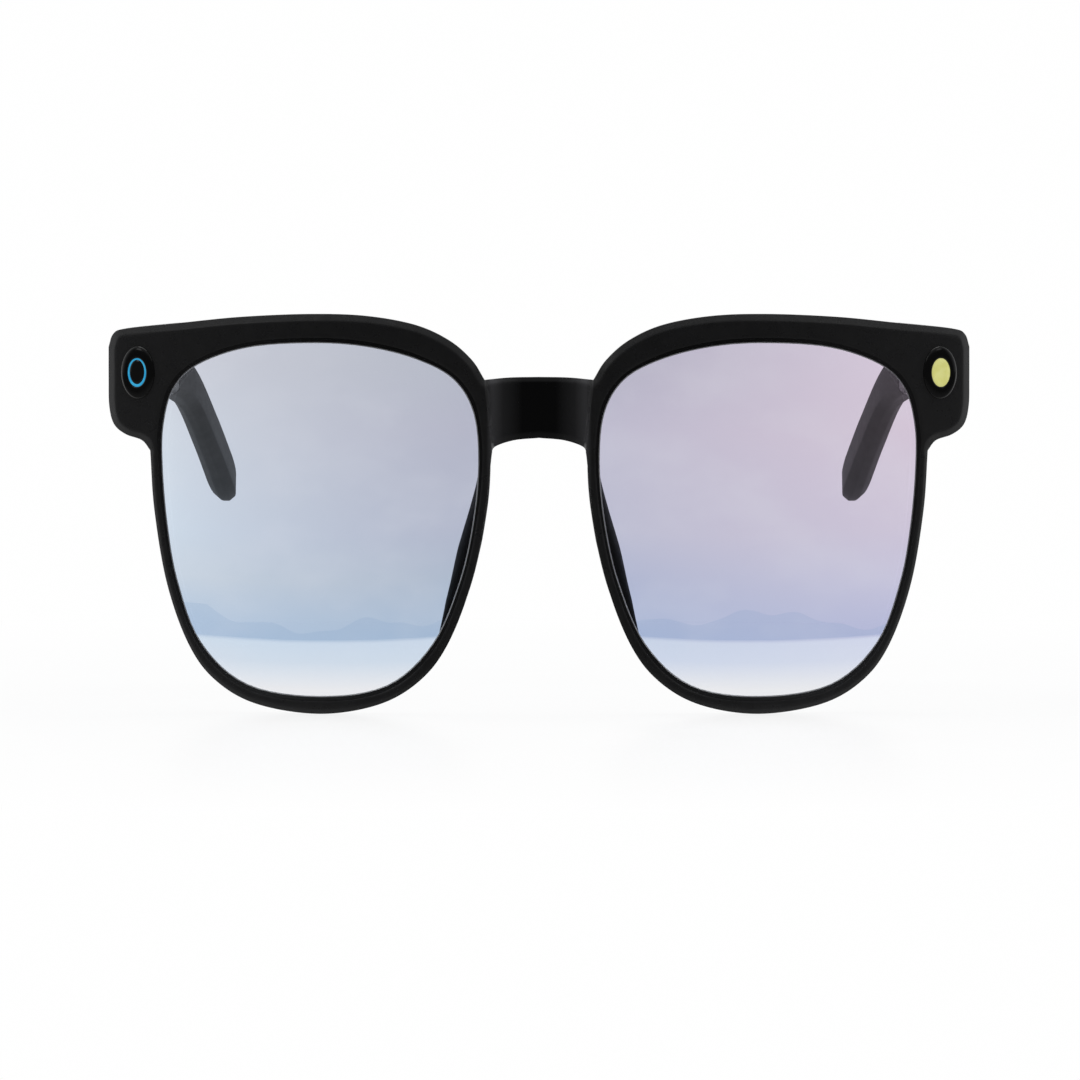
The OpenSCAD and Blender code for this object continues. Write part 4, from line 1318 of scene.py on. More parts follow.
@dataclass
class FrontFrame:
    """The moulded front: brow, rims, bridge and end-pieces, bent to one radius.

    Attributes:
        shop: Where pieces are placed.
        step: Distance between stations round the outline, mm.
        bevel: Width of the outer bevel on the brow and end-pieces, mm.
        narrower: How much narrower it is on the rims and on the bridge, mm.
        slope: How steeply that bevel falls back; 1 is 45 degrees.
        lip: Width of the bevel round a lens, which is darkened with painted shade, mm.
        lip_slope: How steeply that one falls back.
        lip_rows: Rows of points that lie on it.
        recess: How far the bridge lies behind the rims, mm.
        crease: Where the crease beside the bridge meets the arch, and how far it leans out for each mm up.
        back_inset: How far the back lies ahead of the rim's full depth, mm.
        pod_row: First row of points that the end-piece's back takes in.
    """

    shop: Workshop
    step: float = 0.5
    bevel: float = 1.15
    narrower: tuple[float, float] = (0.6, 0.35)
    slope: float = 0.52
    lip: float = 0.75
    lip_slope: float = 0.75
    lip_rows: int = 6
    recess: float = 0.75
    crease: tuple[float, float] = (7.95, 0.105)
    back_inset: float = 0.1
    pod_row: int = 8

    def __post_init__(self) -> None:
        """Works out the full outline."""
        half = np.vstack([BRIDGE_TOP[:-1], OUTER_LINE[:-1], BRIDGE_ARCH])
        self.outline = np.vstack([half, half[-2:0:-1] * [-1, 1]])

    def front_depth(self, x: np.ndarray, z: np.ndarray) -> np.ndarray:
        """Depth of the face: bevels at both edges and the bridge's recess.

        Args:
            x: Across, mm.
            z: Up, mm.

        Returns:
            One depth for each point, in a single row.
        """
        flat = np.column_stack([x.ravel(), z.ravel()])
        outer, inner = gap_to(flat, self.outline), gap_to(flat, LENS_LOOP)
        x, z = flat.T
        on_rims, on_bridge = ease((46 - z) / 3), ease((9.5 - x) / 2)
        wide = self.bevel - self.narrower[0] * on_rims - self.narrower[1] * on_bridge
        bevel = wide * self.slope * soft_rise((wide - outer) / wide, 0.012)
        lip = self.lip * self.lip_slope * soft_rise((self.lip - inner) / self.lip, 0.02)
        start, lean = self.crease
        crease = start + (z - ARCH_END[1]) * lean
        return bevel + lip + self.recess * ease((crease - x) / 0.7)

    def back_depth(self, x: np.ndarray, z: np.ndarray) -> np.ndarray:
        """Depth of the rims' back, with round edges.

        Args:
            x: Across, mm.
            z: Up, mm.

        Returns:
            One depth for each point, in a single row.
        """
        flat = np.column_stack([x.ravel(), z.ravel()])
        edges = fillet(gap_to(flat, self.outline), 0.6) + fillet(gap_to(flat, LENS_LOOP), 0.5)
        return RIM_DEPTH - self.back_inset - edges

    def stations(self) -> tuple[np.ndarray, np.ndarray, np.ndarray]:
        """Facing points of the outline and the opening.

        Returns:
            The outer points, the inner points, and the number of the stretch that each belongs to.
        """
        path = np.vstack([OUTER_LINE, [BROW_FOOT]])
        ring = np.vstack([LENS_LOOP, LENS_LOOP[:1]])
        total = lengths(ring)[-1]
        along = [distance_of(OUTER_LINE, out) for out, _ in FACING[:-1]] + [lengths(path)[-1]]
        across = [distance_of(LENS_LOOP, facing_it) for _, facing_it in FACING]
        for i in range(1, len(across)):
            while across[i] < across[i - 1]:
                across[i] += total
        outer, inner, stretch = [], [], []
        for i in range(len(FACING) - 1):
            n = max(3, round((along[i + 1] - along[i]) / self.step))
            t = np.arange(n) / n
            outer.append(point_at(path, along[i] + t * (along[i + 1] - along[i])))
            inner.append(point_at(ring, (across[i] + t * (across[i + 1] - across[i])) % total))
            stretch.append(np.full(n, i))
        return np.vstack(outer), np.vstack(inner), np.concatenate(stretch)

    def rows(self, width: np.ndarray) -> np.ndarray:
        """Distances from the lens opening at which each station is sampled.

        Args:
            width: Distance across the rim at each station.

        Returns:
            One row of distances for each station, crowded over both bevels.
        """
        # the rows are spaced for a rim that is 2.6 wide or more, and stand closer on a narrower one
        fit = np.minimum(1, width / 2.6)[:, None]
        near = np.array([0, 0.08, 0.2, 0.36, 0.54, 0.7, 0.82]) * fit
        far = width[:, None] - np.array([1.3, 1.12, 0.95, 0.75, 0.5, 0.25, 0.1, 0]) * fit
        lip = np.maximum(0.9 * fit, np.minimum(1.4, 0.5 * width[:, None]))
        middle = lip + 0.03 + (far[:, :1] - lip - 0.03) * (np.arange(20) / 20)
        return np.hstack([near, lip - 0.03, middle, far])

    def ring(self, sheets: Sheets) -> None:
        """Lays the ring round one lens: front, back, walls and end-piece.

        Args:
            sheets: Where it is laid.
        """
        outer, inner, stretch = self.stations()
        way = outer - inner
        width = np.linalg.norm(way, axis=1)
        way /= width[:, None]
        grid = inner[:, None, :] + self.rows(width)[..., None] * way[:, None, :]
        x, z = grid[..., 0], grid[..., 1]
        front = on_front(x, z, self.front_depth(x, z).reshape(x.shape))
        back = on_front(x, z, self.back_depth(x, z).reshape(x.shape))
        on_pod = np.isin(stretch, POD_STRETCHES)[:, None] & (np.arange(x.shape[1]) >= self.pod_row)
        back = np.where(on_pod[..., None], self.pod_back(x, z), back)
        f, b = sheets.add(front), sheets.add(back)
        # the bevel round the lens and the wall behind it take the darker copy of the black: painted shade
        sheets.finish = 1
        sheets.skin(f[:, :self.lip_rows], loop_rows=True)
        sheets.skin(np.stack([f[:, 0], b[:, 0]], axis=1), loop_rows=True)
        sheets.finish = 0
        sheets.skin(f[:, self.lip_rows - 1:], loop_rows=True)
        sheets.skin(b, loop_rows=True)
        shown = stretch < BRIDGE_STRETCH
        wall = np.stack([f[:, -1], b[:, -1]], axis=1)
        sheets.skin(np.vstack([wall[shown], wall[~shown][:1]]))

    def pod_back(self, x: np.ndarray, z: np.ndarray) -> np.ndarray:
        """Points of the end-piece's flat back, with a round edge.

        Args:
            x: Across, mm.
            z: Up, mm.

        Returns:
            X, Y and Z in metres, in an array one longer than x.
        """
        flat = np.column_stack([x.ravel(), z.ravel()])
        edge = fillet(gap_to(flat, self.outline), 0.7).reshape(x.shape)
        return np.stack([x, POD_BACK - 0.15 - edge, z], axis=-1) * MM

    def bridge(self, sheets: Sheets) -> None:
        """Lays half of the bridge, from the middle out to the crease beside the rim.

        Args:
            sheets: Where it is laid.
        """
        outer, _, stretch = self.stations()
        line = np.vstack([outer[stretch == BRIDGE_STRETCH], [BROW_FOOT]])
        share = (line[:, 1] - line[0, 1]) / (line[-1, 1] - line[0, 1])
        # the arch and the top edge, each followed from the middle out to the crease
        columns = 26
        out = np.arange(columns + 1) / columns
        arch = point_at(BRIDGE_ARCH[::-1], out * lengths(BRIDGE_ARCH)[-1])
        top = point_at(BRIDGE_TOP, out * lengths(BRIDGE_TOP)[-1])
        t = self.spread_rows(share, out)
        grid = arch[:, None, :] + (top - arch)[:, None, :] * t[..., None]
        grid[-1] = line
        x, z = grid[..., 0], grid[..., 1]
        front = on_front(x, z, self.front_depth(x, z).reshape(x.shape))
        back = on_front(x, z, self.back_depth(x, z).reshape(x.shape))
        f, b = sheets.add(front), sheets.add(back)
        sheets.skin(f)
        sheets.skin(b)
        sheets.skin(np.stack([f[:, 0], b[:, 0]], axis=1))
        sheets.skin(np.stack([f[:, -1], b[:, -1]], axis=1))

    @staticmethod
    def spread_rows(share: np.ndarray, out: np.ndarray) -> np.ndarray:
        """Fractions up each column: the crease's own at the end, crowded to both edges in the middle.

        Args:
            share: The crease's own fractions.
            out: How far out each column lies, from 0 to 1.

        Returns:
            One row of fractions for each column.
        """
        crowd = 0.5 - 0.5 * np.cos(math.pi * share)
        return crowd[None, :] + (share - crowd)[None, :] * (out[:, None] ** 3)

    def build(self) -> None:
        """Builds the front and places it, with what lies in the brow and the bridge."""
        whole = Sheets()
        for left in (True, False):
            half = Sheets()
            self.ring(half)
            self.bridge(half)
            whole.merge(half.mirrored(not left))
        mesh = whole.mesh("front_moulding", 32, weld=4e-6)
        palette = self.shop.palette
        self.shop.place(mesh, "front", "front_plastic", ("front_frame",),
                        [palette["front_plastic"], palette.rim_bevel_painted_shade])
        for node, slot in (("brow_channel_cover", "cover_plastic"), ("brow_flex_cable", "flex")):
            self.shop.dress(node, slot, 0.06)
        self.microphone_port()

    def microphone_port(self, level: float = 49.4) -> None:
        """Turns the small port in the back of the bridge and places it.

        Args:
            level: Height of its middle, mm.
        """
        port = turned([(0, -0.4), (1.25, -0.4), (1.25, 0.0), (1.15, 0.06), (0.5, 0.07), (0.42, 0.0),
                       (0.3, -0.25), (0, -0.3)])
        back = FRONT_Y + RIM_DEPTH - self.back_inset
        port.moved(facing((0, back, level), (0, 1, 0))).moved(Matrix.Scale(MM, 4))
        mesh = port.mesh("bridge_microphone_port", 30, 1e-6)
        self.shop.place(mesh, "front", "steel", ("bridge_microphone",))


@dataclass
class Lens:
    """One lens: two curved faces on the front's own bend, with a pale bead where the rim holds it, a painted
    highlight.

    Attributes:
        shop: Where pieces are placed.
        side: Which lens.
        reach: How far it goes into the rim, mm.
        rings: Steps from the middle to the edge.
    """

    shop: Workshop
    side: Side
    reach: float = 0.7
    rings: int = 22

    def build(self) -> None:
        """Builds the lens and places it."""
        sheets = Sheets()
        loop = LENS_LOOP[::2]
        grown = LENS_MIDDLE + (loop - LENS_MIDDLE) * (1 + self.reach / LENS_HALF)
        share = np.linspace(0, 1, self.rings)[1:, None, None]
        flat = LENS_MIDDLE + (grown - LENS_MIDDLE)[None] * share
        skins = []
        for depth in LENS_DEPTH:
            numbers = sheets.add(on_front(flat[..., 0], flat[..., 1], depth))
            sheets.skin(numbers, loop_cols=True)
            middle = sheets.add(on_front(LENS_MIDDLE[:1], LENS_MIDDLE[1:], depth))[0]
            first = numbers[0]
            for a, b in zip(first, np.roll(first, -1)):
                sheets.face([a, b, middle])
            skins.append(numbers[-1])
        sheets.skin(np.stack(skins), loop_cols=True)
        # the bead takes the pale finish: a painted highlight
        sheets.finish = 1
        self.bead(sheets, loop)
        mesh = sheets.mirrored(self.side is Side.RIGHT).mesh(f"lens_with_bead_{self.side.word}", 40, 1e-6)
        palette = self.shop.palette
        self.shop.place(mesh, "front", "lens_glass", (f"lens_{self.side.word}",),
                        [palette.lens[self.side], palette.lens_edge])

    def bead(self, sheets: Sheets, loop: np.ndarray, radius: float = 0.19, proud: float = 0.03) -> None:
        """Lays the thin pale bead that shows between lens and rim, a painted highlight.

        Args:
            sheets: Where it is laid.
            loop: The lens opening's points.
            radius: Radius of the bead, mm.
            proud: How far its middle lies ahead of the lens's face, mm.
        """
        along = np.roll(loop, -1, axis=0) - np.roll(loop, 1, axis=0)
        way = np.column_stack([along[:, 1], -along[:, 0]]) / np.linalg.norm(along, axis=1)[:, None]
        turn = full_turn(8)
        off, depth = radius * np.cos(turn), LENS_DEPTH[0] - proud - radius * np.sin(turn)
        x = loop[:, None, 0] + way[:, None, 0] * off
        z = loop[:, None, 1] + way[:, None, 1] * off
        numbers = sheets.add(on_front(x, z, np.broadcast_to(depth, x.shape)))
        sheets.skin(numbers, loop_rows=True, loop_cols=True)


@dataclass
class NosePad:
    """Soft pad beside the nose, sculpted onto the back of the rim.

    Attributes:
        shop: Where pieces are placed.
        side: Which pad.
        inner: Line that its edge follows inside the lens opening, from the top down.
        swell: How far it stands out of the rim's back, mm.
        lean: How far it leans away from the nose for each mm that it stands out.
        sunk: How far its foot lies inside the rim's back, mm.
        count: Points round each of its sections.
    """

    shop: Workshop
    side: Side
    inner: tuple[tuple[float, float], ...] = (
        (9.9, 44.0), (10.5, 39.6), (11.8, 34.8), (13.4, 29.5), (14.1, 26.8), (15.5, 20.1), (17.5, 12.2))
    swell: float = 6.4
    lean: float = 0.14
    sunk: float = 0.7
    count: int = 40

    def build(self) -> None:
        """Builds the pad and places it."""
        line = smooth(list(self.inner), 8)
        rim = OUTER_LINE[(OUTER_LINE[:, 0] < 20) & (OUTER_LINE[:, 1] < 43)]
        nose_side = np.interp(-line[:, 1], -rim[::-1, 1], rim[::-1, 0]) + 0.3
        along = np.linspace(0, 1, len(line))
        bump = np.sin(math.pi * along**0.9) ** 0.75
        out, back = superellipse(full_turn(self.count), 0.8)
        rings = []
        for (inner, z), outer, high in zip(line, nose_side, bump):
            deep = 0.5 + self.swell * high
            middle = (inner + outer) / 2
            half = (inner - outer) / 2 * (0.55 + 0.45 * min(1, high * 2))
            stand = deep / 2 * (1 + back)
            x = middle + half * out + self.lean * (stand - deep)
            rings.append(on_front(x, np.full(self.count, z), RIM_DEPTH - self.sunk + stand))
        sheets = Sheets()
        sheets.loft(np.array(rings))
        sheets.mirrored(self.side is Side.RIGHT)
        mesh = sheets.mesh(f"soft_nose_pad_{self.side.word}", 60, 1e-6)
        self.shop.place(mesh, "front", "nose_pad", (f"nose_pad_{self.side.word}",))


# ---- Camera and lamp --------------------------------------------------------------------------


@dataclass
class Module:
    """Oval black bezel on an end-piece, with the camera and its light ring or with the lamp.

    Attributes:
        shop: Where pieces are placed.
        side: The camera is on the wearer's right and the lamp on the left.
        across: Distance of its middle from the centre, mm.
        level: Height of its middle, mm.
        inner: Half width and half height of the round opening in the bezel.
        fit: Gap all round between a piece and what it sits in, mm.
    """

    shop: Workshop
    side: Side
    across: float = 67.5
    level: float = 57.1
    inner: tuple[float, float] = (1.67, 2.4)
    fit: float = 0.02

    def put(self, sheets: Sheets, name: str, slot: str, replaces: tuple[str, ...]) -> None:
        """Turns a piece to the face and places it.

        Args:
            sheets: The piece, in mm, with +Z out of the face.
            name: The piece's name.
            slot: The record's slot for its finish.
            replaces: The nodes that it stands for.
        """
        x = self.across * self.side.value
        y = FRONT_Y + WRAP - math.sqrt(WRAP**2 - x**2)
        place = facing((x, y, self.level), (x / WRAP, -math.sqrt(1 - (x / WRAP) ** 2), 0))
        sheets.moved(place).moved(Matrix.Scale(MM, 4))
        self.shop.place(sheets.mesh(name, 42, 1e-6), "front", slot, replaces)

    def bezel(self) -> Sheets:
        """Domed black ring, in mm with +Z out of the face.

        Returns:
            The ring.
        """
        w, h = self.inner[0] + self.fit, self.inner[1] + self.fit
        crown = [(3.1, 4.45, -0.02), (3.07, 4.42, 0.08), (2.98, 4.32, 0.19), (2.84, 4.16, 0.29),
                 (2.66, 3.94, 0.37), (2.46, 3.68, 0.43), (2.26, 3.4, 0.475), (2.08, 3.1, 0.5),
                 (1.94, 2.84, 0.5), (1.82, 2.62, 0.475), (1.74, 2.5, 0.43)]
        return hollow_ring([(3.1, 4.45, -0.7), *crown, (w, h, 0.36), (w, h, -0.7)], 128)

    def lamp(self) -> None:
        """Places the left bezel and the lamp's diffuser, a disc with a slightly domed face."""
        self.put(self.bezel(), "lamp_bezel_domed", "gloss_black", ("lamp_bezel",))
        w, h = self.inner
        disc = stack([(0, 0, -0.6), (w, h, -0.6), (w, h, 0.3), (w - 0.06, h - 0.06, 0.36),
                      (w * 0.8, h * 0.8, 0.4), (w * 0.5, h * 0.5, 0.42), (0, 0, 0.43)])
        self.put(disc, "lamp_diffuser", "lamp_window", ("lamp_window",))

    def camera(self) -> None:
        """Places the right bezel, the light ring and the domed glass, which sit a little high in it."""
        self.put(self.bezel(), "camera_bezel_domed", "gloss_black", ("camera_bezel",))
        w, h = self.inner
        lift = np.array([0, 0.09, 0])
        a, b = w - 0.3, h - 0.33
        outside = [(w, h, -0.6), (w, h, 0.34), (w - 0.05, h - 0.05, 0.38)]
        inside = [(a + 0.05, b + 0.05, 0.38), (a, b, 0.35), (a, b, -0.6)]
        light = hollow_ring([*outside, *inside])
        grid = light.points[0].reshape(len(outside) + len(inside), -1, 3)
        grid[len(outside):] += lift
        self.put(light, "camera_light_ring_bevelled", "light_ring", ("camera_light_ring",))
        a, b = a - self.fit, b - self.fit
        glass = stack([(0, 0, -0.3), (a, b, -0.3), (a, b, 0.31), (a - 0.05, b - 0.05, 0.345),
                       (a * 0.8, b * 0.8, 0.4), (a * 0.55, b * 0.55, 0.44), (a * 0.25, b * 0.25, 0.465),
                       (0, 0, 0.47)])
        glass.points = [p + lift for p in glass.points]
        self.put(glass, "camera_window_domed", "camera_glass", ("camera_window",))

    def build(self) -> None:
        """Builds the module and places it."""
        if self.side is Side.LEFT:
            self.lamp()
        else:
            self.camera()


# ---- Temples ----------------------------------------------------------------------------------


NO_SEAT = (-1.0, 1.0, 0.0)    # a seat without depth, so that every section has as many points


@dataclass
class Temple:
    """One temple: chamfered housing, cover on the side of the head, and soft tip.

    Attributes:
        shop: Where pieces are placed.
        side: Which temple.
        chamfer: Width of the chamfers at the front end and at the tip, mm.
        round_over: Softening of each corner, mm.
        blend: Length over which the one chamfer turns into the other, mm.
        groove: Scale of the sections at the groove between housing and tip, on either side of it.
        seats: Depths of the seats for the hinge's leaf and for the cover, mm.
        cover_edge: Width of the wall that is left above and below the cover, mm.
        button_slot: Half width and half length of the capture button's slot, mm.
        slot_levels: Heights of the cut that makes it, from below its floor to above the temple, mm.
        taper: Length over which the tip starts to draw in before its end, mm.
        nose: How far the tip's round nose goes past that end, mm.
    """

    shop: Workshop
    side: Side
    chamfer: tuple[float, float] = (0.9, 1.5)
    round_over: float = 0.28
    blend: float = 14.0
    groove: float = 0.975
    seats: tuple[float, float] = (1.1, 1.02)
    cover_edge: float = 1.2
    button_slot: tuple[float, float] = (1.4, 4.65)
    slot_levels: tuple[float, ...] = (57.4, 60.4, 66.4)
    taper: float = 4.5
    nose: float = 4.0

    def section(self, y: float, seat: tuple[float, float, float], shrink: float = 1.0, push: float = 0.0
                ) -> np.ndarray:
        """Outline of the temple at one Y.

        Args:
            y: Where.
            seat: Lower and upper edge and depth of the seat in the inner face, along the section.
            shrink: Scale about the middle.
            push: How far past y along the spine the section stands.

        Returns:
            Points of the closed outline, in mm.
        """
        x, z, thick, high = spine_at(y)
        tangent = self.tangent_at(y)
        out = np.array([tangent[1], -tangent[0], 0]) / math.hypot(tangent[0], tangent[1])
        up = np.array([0, -tangent[2], tangent[1]]) / math.hypot(tangent[1], tangent[2])
        c = self.chamfer[0] + (self.chamfer[1] - self.chamfer[0]) * float(ease((y - TIP_START) / self.blend))
        corners = np.array([
            (-thick, high - c), (-thick + c, high), (thick - c, high), (thick, high - c),
            (thick, -high + c), (thick - c, -high), (-thick + c, -high), (-thick, -high + c)])
        flat = []
        for before, here, after in zip(np.roll(corners, 1, axis=0), corners, np.roll(corners, -1, axis=0)):
            a = here + (before - here) / np.linalg.norm(before - here) * self.round_over
            b = here + (after - here) / np.linalg.norm(after - here) * self.round_over
            flat += [a, 0.25 * a + 0.5 * here + 0.25 * b, b]
        low, top, depth = seat
        low, top = max(low, -high + c + 0.3), min(top, high - c - 0.3)
        flat += [(-thick, low), (-thick + depth, low), (-thick + depth, top), (-thick, top)]
        flat = np.array(flat) * shrink
        return np.array([x, y, z]) + tangent * push + flat[:, :1] * out + flat[:, 1:] * up

    @staticmethod
    def tangent_at(y: float, reach: float = 0.5) -> np.ndarray:
        """Direction of the temple at one Y.

        Args:
            y: Where, mm.
            reach: How far to either side the spine is looked at, mm.

        Returns:
            The direction, of length 1.
        """
        end = y + reach > SPINE[-1, 1]
        ahead = spine_at(y if end else y + reach)
        behind = spine_at(y - reach)
        along = reach if end else 2 * reach
        tangent = np.array([ahead[0] - behind[0], along, ahead[1] - behind[1]])
        return tangent / np.linalg.norm(tangent)

    def seat_at(self, y: float) -> tuple[float, float, float]:
        """Seat for the cover or the hinge leaf at one Y, as seen just past it.

        Args:
            y: Where, mm.

        Returns:
            Lower and upper edge and depth of the seat.
        """
        _, z, _, high = spine_at(y)
        if y < LEAF_END:
            return LEAF_Z[0] - z, LEAF_Z[1] - z, self.seats[0]
        if POCKET[0] <= y < POCKET[1]:
            return -high + self.cover_edge, high - self.cover_edge, self.seats[1]
        return NO_SEAT

    def housing(self) -> bpy.types.Mesh:
        """Rigid part with the seats for hinge leaf and cover.

        Returns:
            Its mesh.
        """
        ys = np.concatenate([np.linspace(BUTT + 0.3, LEAF_END, 20), np.linspace(LEAF_END, POCKET[0], 5),
                             np.linspace(*POCKET, 74), np.linspace(POCKET[1], TIP_START - 0.12, 7)])
        rings = [self.section(BUTT, self.seat_at(BUTT), 0.955),
                 self.section(BUTT + 0.12, self.seat_at(BUTT), 0.985)]
        # where two stretches meet, one Y comes twice: with the seat before it and with the one after it
        for before, y in zip([ys[0], *ys], ys):
            rings.append(self.section(y, self.seat_at(y + (1e-3 if before == y else -1e-3))))
        rings.append(self.section(TIP_START - 0.02, self.seat_at(TIP_START), self.groove))
        sheets = Sheets()
        sheets.loft(np.array(rings) * MM)
        sheets.mirrored(self.side is Side.RIGHT)
        mesh = sheets.mesh(f"temple_housing_{self.side.word}", 30, 1e-6)
        return self.with_button_slot(mesh) if self.side is Side.RIGHT else mesh

    def with_button_slot(self, mesh: bpy.types.Mesh) -> bpy.types.Mesh:
        """Cuts a slot into the top of the right housing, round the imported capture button.

        Args:
            mesh: The housing.

        Returns:
            The housing with its slot.
        """
        low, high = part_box("capture_button")
        middle = (low + high) / 2
        slot = stack([(*self.button_slot, level) for level in self.slot_levels], 64, 4.0)
        slot.moved(Matrix.Scale(MM, 4)).moved(Matrix.Translation((middle.x, middle.y, 0)))
        mesh = self.shop.cut(mesh, slot)
        mesh.set_sharp_from_angle(angle=math.radians(30))
        return mesh

    def tip(self) -> bpy.types.Mesh:
        """Soft end with a round nose, parted from the housing by a fine groove.

        Returns:
            Its mesh.
        """
        end = SPINE[-1, 1]
        turn = end - self.taper
        rings = [self.section(TIP_START + 0.02, NO_SEAT, self.groove)]
        rings += [self.section(y, NO_SEAT) for y in np.linspace(TIP_START + 0.12, turn, 50)]
        for t in np.sin(np.linspace(0, math.pi / 2, 22))[1:]:
            past = t * (self.taper + self.nose)
            slim = max(max(1 - t**2.5, 0) ** 0.4, 0.02)
            rings.append(self.section(min(turn + past, end), NO_SEAT, slim, max(0.0, past - self.taper)))
        sheets = Sheets()
        sheets.loft(np.array(rings) * MM)
        sheets.mirrored(self.side is Side.RIGHT)
        return sheets.mesh(f"soft_tip_{self.side.word}", 50, 1e-6)

    def build(self) -> None:
        """Builds the temple and places it."""
        word, body = self.side.word, self.side.body
        self.shop.place(self.housing(), body, "temple_plastic", (f"temple_shell_{word}",))
        self.shop.place(self.tip(), body, "soft_tip", (f"ear_tip_{word}",))
        for part, slot, edge in (
                ("temple_cover", "cover_plastic", 0.12), ("core_wire", "wire", 0.1),
                ("speaker", "speaker", 0.12), ("speaker_grille", "black_metal", 0.08),
                ("microphone", "steel", 0.06), ("cover_screws", "steel", 0.05)):
            self.shop.dress(f"{part}_{word}", slot, edge)
        self.shop.dress(f"battery_{word}", "cell", 0.35, 3)


@dataclass
class Hinge:
    """Five knuckles on one screw, with a leaf on the end-piece and a leaf in the temple.

    Attributes:
        shop: Where pieces are placed.
        side: Which hinge.
    """

    shop: Workshop
    side: Side

    def build(self) -> None:
        """Dresses the hinge's pieces."""
        word = self.side.word
        for part, slot, edge in (
                ("front_hinge", "black_metal", 0.12), ("temple_hinge", "black_metal", 0.12),
                ("hinge_rivets", "steel", 0.08), ("hinge_screw", "steel", 0.07),
                ("endpiece_cover", "cover_plastic", 0.12)):
            self.shop.dress(f"{part}_{word}", slot, edge)


@dataclass
class Electronics:
    """Boards, contacts, controls and sensors of both temples and the end-pieces.

    Attributes:
        shop: Where pieces are placed.
    """

    shop: Workshop

    def build(self) -> None:
        """Dresses every piece that the other classes leave."""
        slots = {
            "capture_button": ("gloss_black", 0.3), "power_slider": ("gloss_black", 0.14),
            "camera_barrel": ("gloss_black", 0.06), "camera_board": ("board", 0.05),
            "lamp_board": ("board", 0.05), "main_board": ("board", 0.06), "audio_board": ("board", 0.06),
            "button_switch": ("steel", 0.08), "power_switch": ("steel", 0.1), "touch_strip": ("flex", 0.0),
            "antenna": ("gold", 0.0), "wear_sensor": ("sensor_glass", 0.1),
            "charge_contacts": ("gold", 0.14), "dock_magnets": ("magnet", 0.14),
        }
        for node, (slot, edge) in slots.items():
            self.shop.dress(node, slot, edge, 3)


# ---- Studio -----------------------------------------------------------------------------------


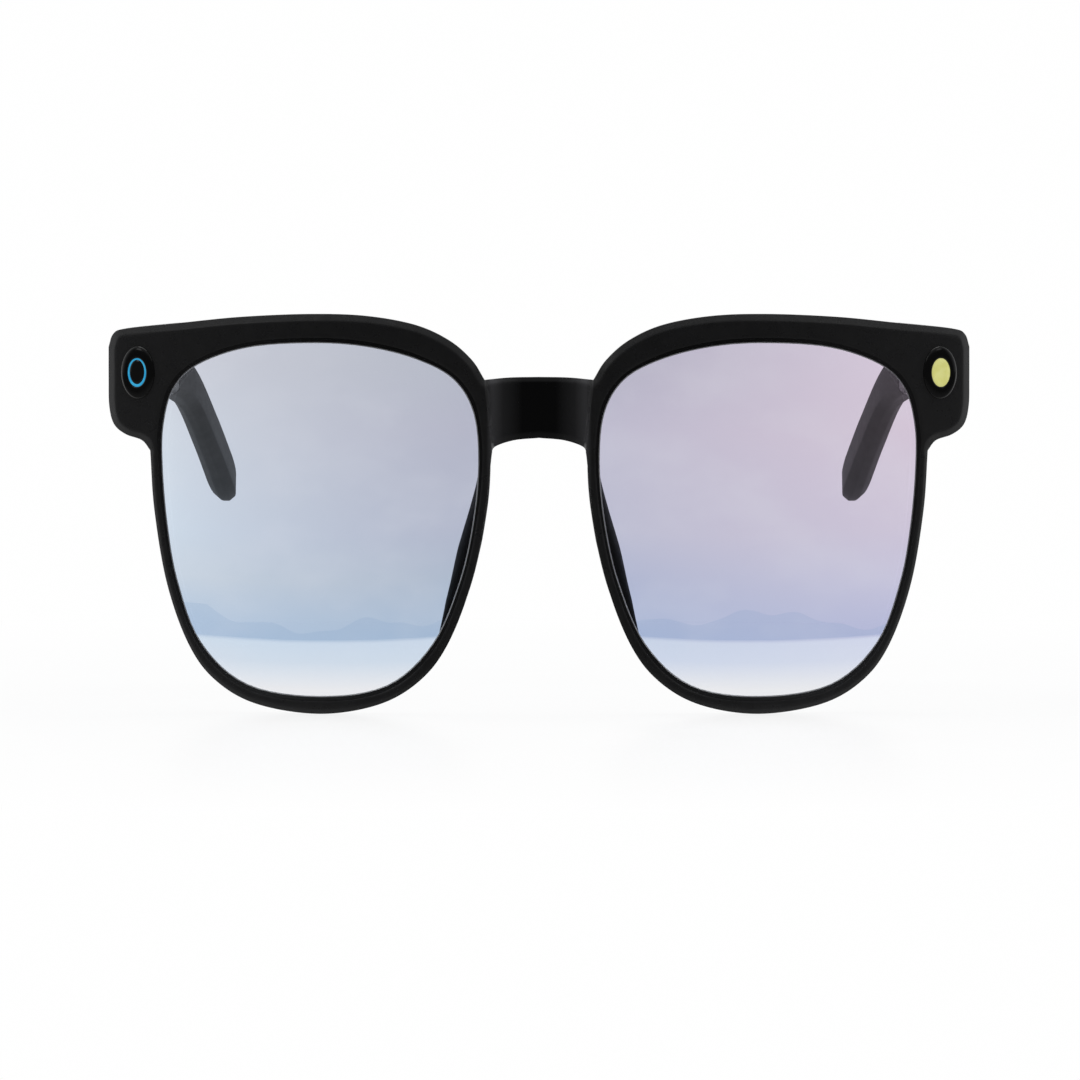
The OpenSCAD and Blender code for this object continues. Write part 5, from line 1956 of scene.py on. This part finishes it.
@dataclass
class Studio:
    """Pale floor, soft light all round that is dimmer in front, and the camera.

    Attributes:
        distance: From the camera to the front, m.
        field_width: Width of the view at the front, m.
        elevation: Of the camera, in degrees.
        target: Where it looks, m.
        dim: How bright the room and the floor are in front of the glasses, against 1 behind them.
        white: How bright the floor and the room look to the camera.
        aim: Where the lamps point, m.
    """

    distance: float = 2.0
    field_width: float = 0.1811
    elevation: float = 1.5
    target: tuple[float, float, float] = (0.00017, -0.066, 0.0291)
    dim: float = 0.06
    white: float = 0.997
    aim: tuple[float, float, float] = (0.0, 0.0, 0.03)

    def world(self) -> None:
        """Light from all round: white behind and above, dim in front."""
        world = bpy.data.worlds.new("studio")
        bpy.context.scene.world = world
        g = Graph(world, "Generated")
        way = g.node("ShaderNodeSeparateXYZ", {0: g.place})
        around = g.node("ShaderNodeMapRange", {0: way.outputs["Y"], 1: -0.55, 2: 0.5, 3: self.dim, 4: 0.98},
                        interpolation_type="SMOOTHSTEP")
        above = g.node("ShaderNodeMapRange", {0: way.outputs["Z"], 1: 0.25, 2: 0.8, 3: 0.0, 4: 0.26},
                       interpolation_type="SMOOTHSTEP")
        level = g.math("MAXIMUM", around.outputs[0], above.outputs[0])
        soft = g.node("ShaderNodeBackground", {"Color": (0.985, 0.99, 1.0, 1), "Strength": level})
        plain = g.node("ShaderNodeBackground", {"Color": (self.white, self.white, self.white, 1)})
        seen = g.node("ShaderNodeLightPath").outputs["Is Camera Ray"]
        mixed = g.node("ShaderNodeMixShader", {0: seen, 1: soft.outputs[0], 2: plain.outputs[0]})
        g.node("ShaderNodeOutputWorld", {0: mixed.outputs[0]})

    def floor(self) -> None:
        """Round pale floor: matt with a faint gloss near the glasses, plain white far off."""
        turn = full_turn(96)
        radii = np.geomspace(0.05, 9.0, 24)[:, None]
        grid = np.stack([radii * np.cos(turn), radii * np.sin(turn), radii * np.zeros_like(turn)], axis=-1)
        sheets = Sheets()
        numbers = sheets.add(grid)
        sheets.skin(numbers, loop_cols=True)
        sheets.cap(numbers[0])
        made = bpy.data.objects.new("floor", sheets.mesh("floor", 30))
        bpy.context.scene.collection.objects.link(made)
        made.data.materials.append(self.floor_finish())

    def floor_finish(self) -> bpy.types.Material:
        """Floor's material. Seen in the glasses, the floor in front is as dim as the room in front.

        Returns:
            The material.
        """
        g = Graph(bpy.data.materials.new("pale_floor"))
        cloud = g.noise(60, 2)
        matt = g.node("ShaderNodeBsdfPrincipled", {
            "Base Color": g.ramp(cloud, ((0.3, (243, 243, 243)), (0.7, (246, 246, 246)))),
            "Roughness": g.between(cloud, 0.3, 0.7, 0.16, 0.24), "Specular IOR Level": 0.3})
        seen = g.node("ShaderNodeLightPath").outputs["Is Camera Ray"]
        level = g.math("MAXIMUM", seen, g.between(g.axis("Y"), -85, -25, self.dim, 1.0))
        white = g.node("ShaderNodeEmission", {"Color": (self.white, self.white, self.white, 1),
                                              "Strength": level})
        away = g.node("ShaderNodeVectorMath", {0: g.place}, operation="LENGTH").outputs["Value"]
        far = g.between(away, 0.08, 0.4, 0.84, 1.0)
        return g.close(g.node("ShaderNodeMixShader", {0: far, 1: matt.outputs[0], 2: white.outputs[0]}))

    def lamp(self, name: str, place: tuple[float, float, float], size: float, power: float) -> None:
        """Adds one square soft lamp.

        Args:
            name: The lamp's name.
            place: Where it hangs, m.
            size: Length of its sides, m.
            power: Its power, W.
        """
        data = bpy.data.lights.new(name, "AREA")
        data.size = size
        data.energy = power
        made = bpy.data.objects.new(name, data)
        made.location = place
        made.rotation_mode = "QUATERNION"
        made.rotation_quaternion = (Vector(self.aim) - Vector(place)).to_track_quat("-Z", "Y")
        bpy.context.scene.collection.objects.link(made)

    def camera(self) -> None:
        """Places the camera straight in front."""
        data = bpy.data.cameras.new("camera")
        data.lens = data.sensor_width * self.distance / self.field_width
        made = bpy.data.objects.new("camera", data)
        tilt = math.radians(self.elevation)
        back = Vector((0, -math.cos(tilt), math.sin(tilt)))
        made.location = Vector(self.target) + back * self.distance
        made.rotation_mode = "QUATERNION"
        made.rotation_quaternion = (-back).to_track_quat("-Z", "Y")
        bpy.context.scene.collection.objects.link(made)
        bpy.context.scene.camera = made

    def build(self) -> None:
        """Sets the studio up."""
        bpy.context.scene.view_settings.view_transform = "Standard"
        self.world()
        self.floor()
        self.lamp("top_soft", (0.0, 0.1, 1.1), 0.9, 4.5)
        self.lamp("key_soft", (-0.9, -1.0, 0.9), 0.4, 0.4)
        self.lamp("fill_soft", (0.9, -1.0, 0.9), 0.4, 0.25)
        self.camera()


def main() -> None:
    """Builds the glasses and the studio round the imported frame."""
    logging.basicConfig(level=logging.INFO, format="%(name)s: %(message)s")
    shop = Workshop(Palette(), frame["nodes"])
    FrontFrame(shop).build()
    for side in Side:
        Lens(shop, side).build()
        NosePad(shop, side).build()
        Module(shop, side).build()
        Hinge(shop, side).build()
        Temple(shop, side).build()
    Electronics(shop).build()
    if shop.left_over:
        LOG.warning("not dressed: %s", sorted(shop.left_over))
    Studio().build()
    LOG.info("%d pieces placed", shop.pieces)


if __name__ == "__main__":
    main()
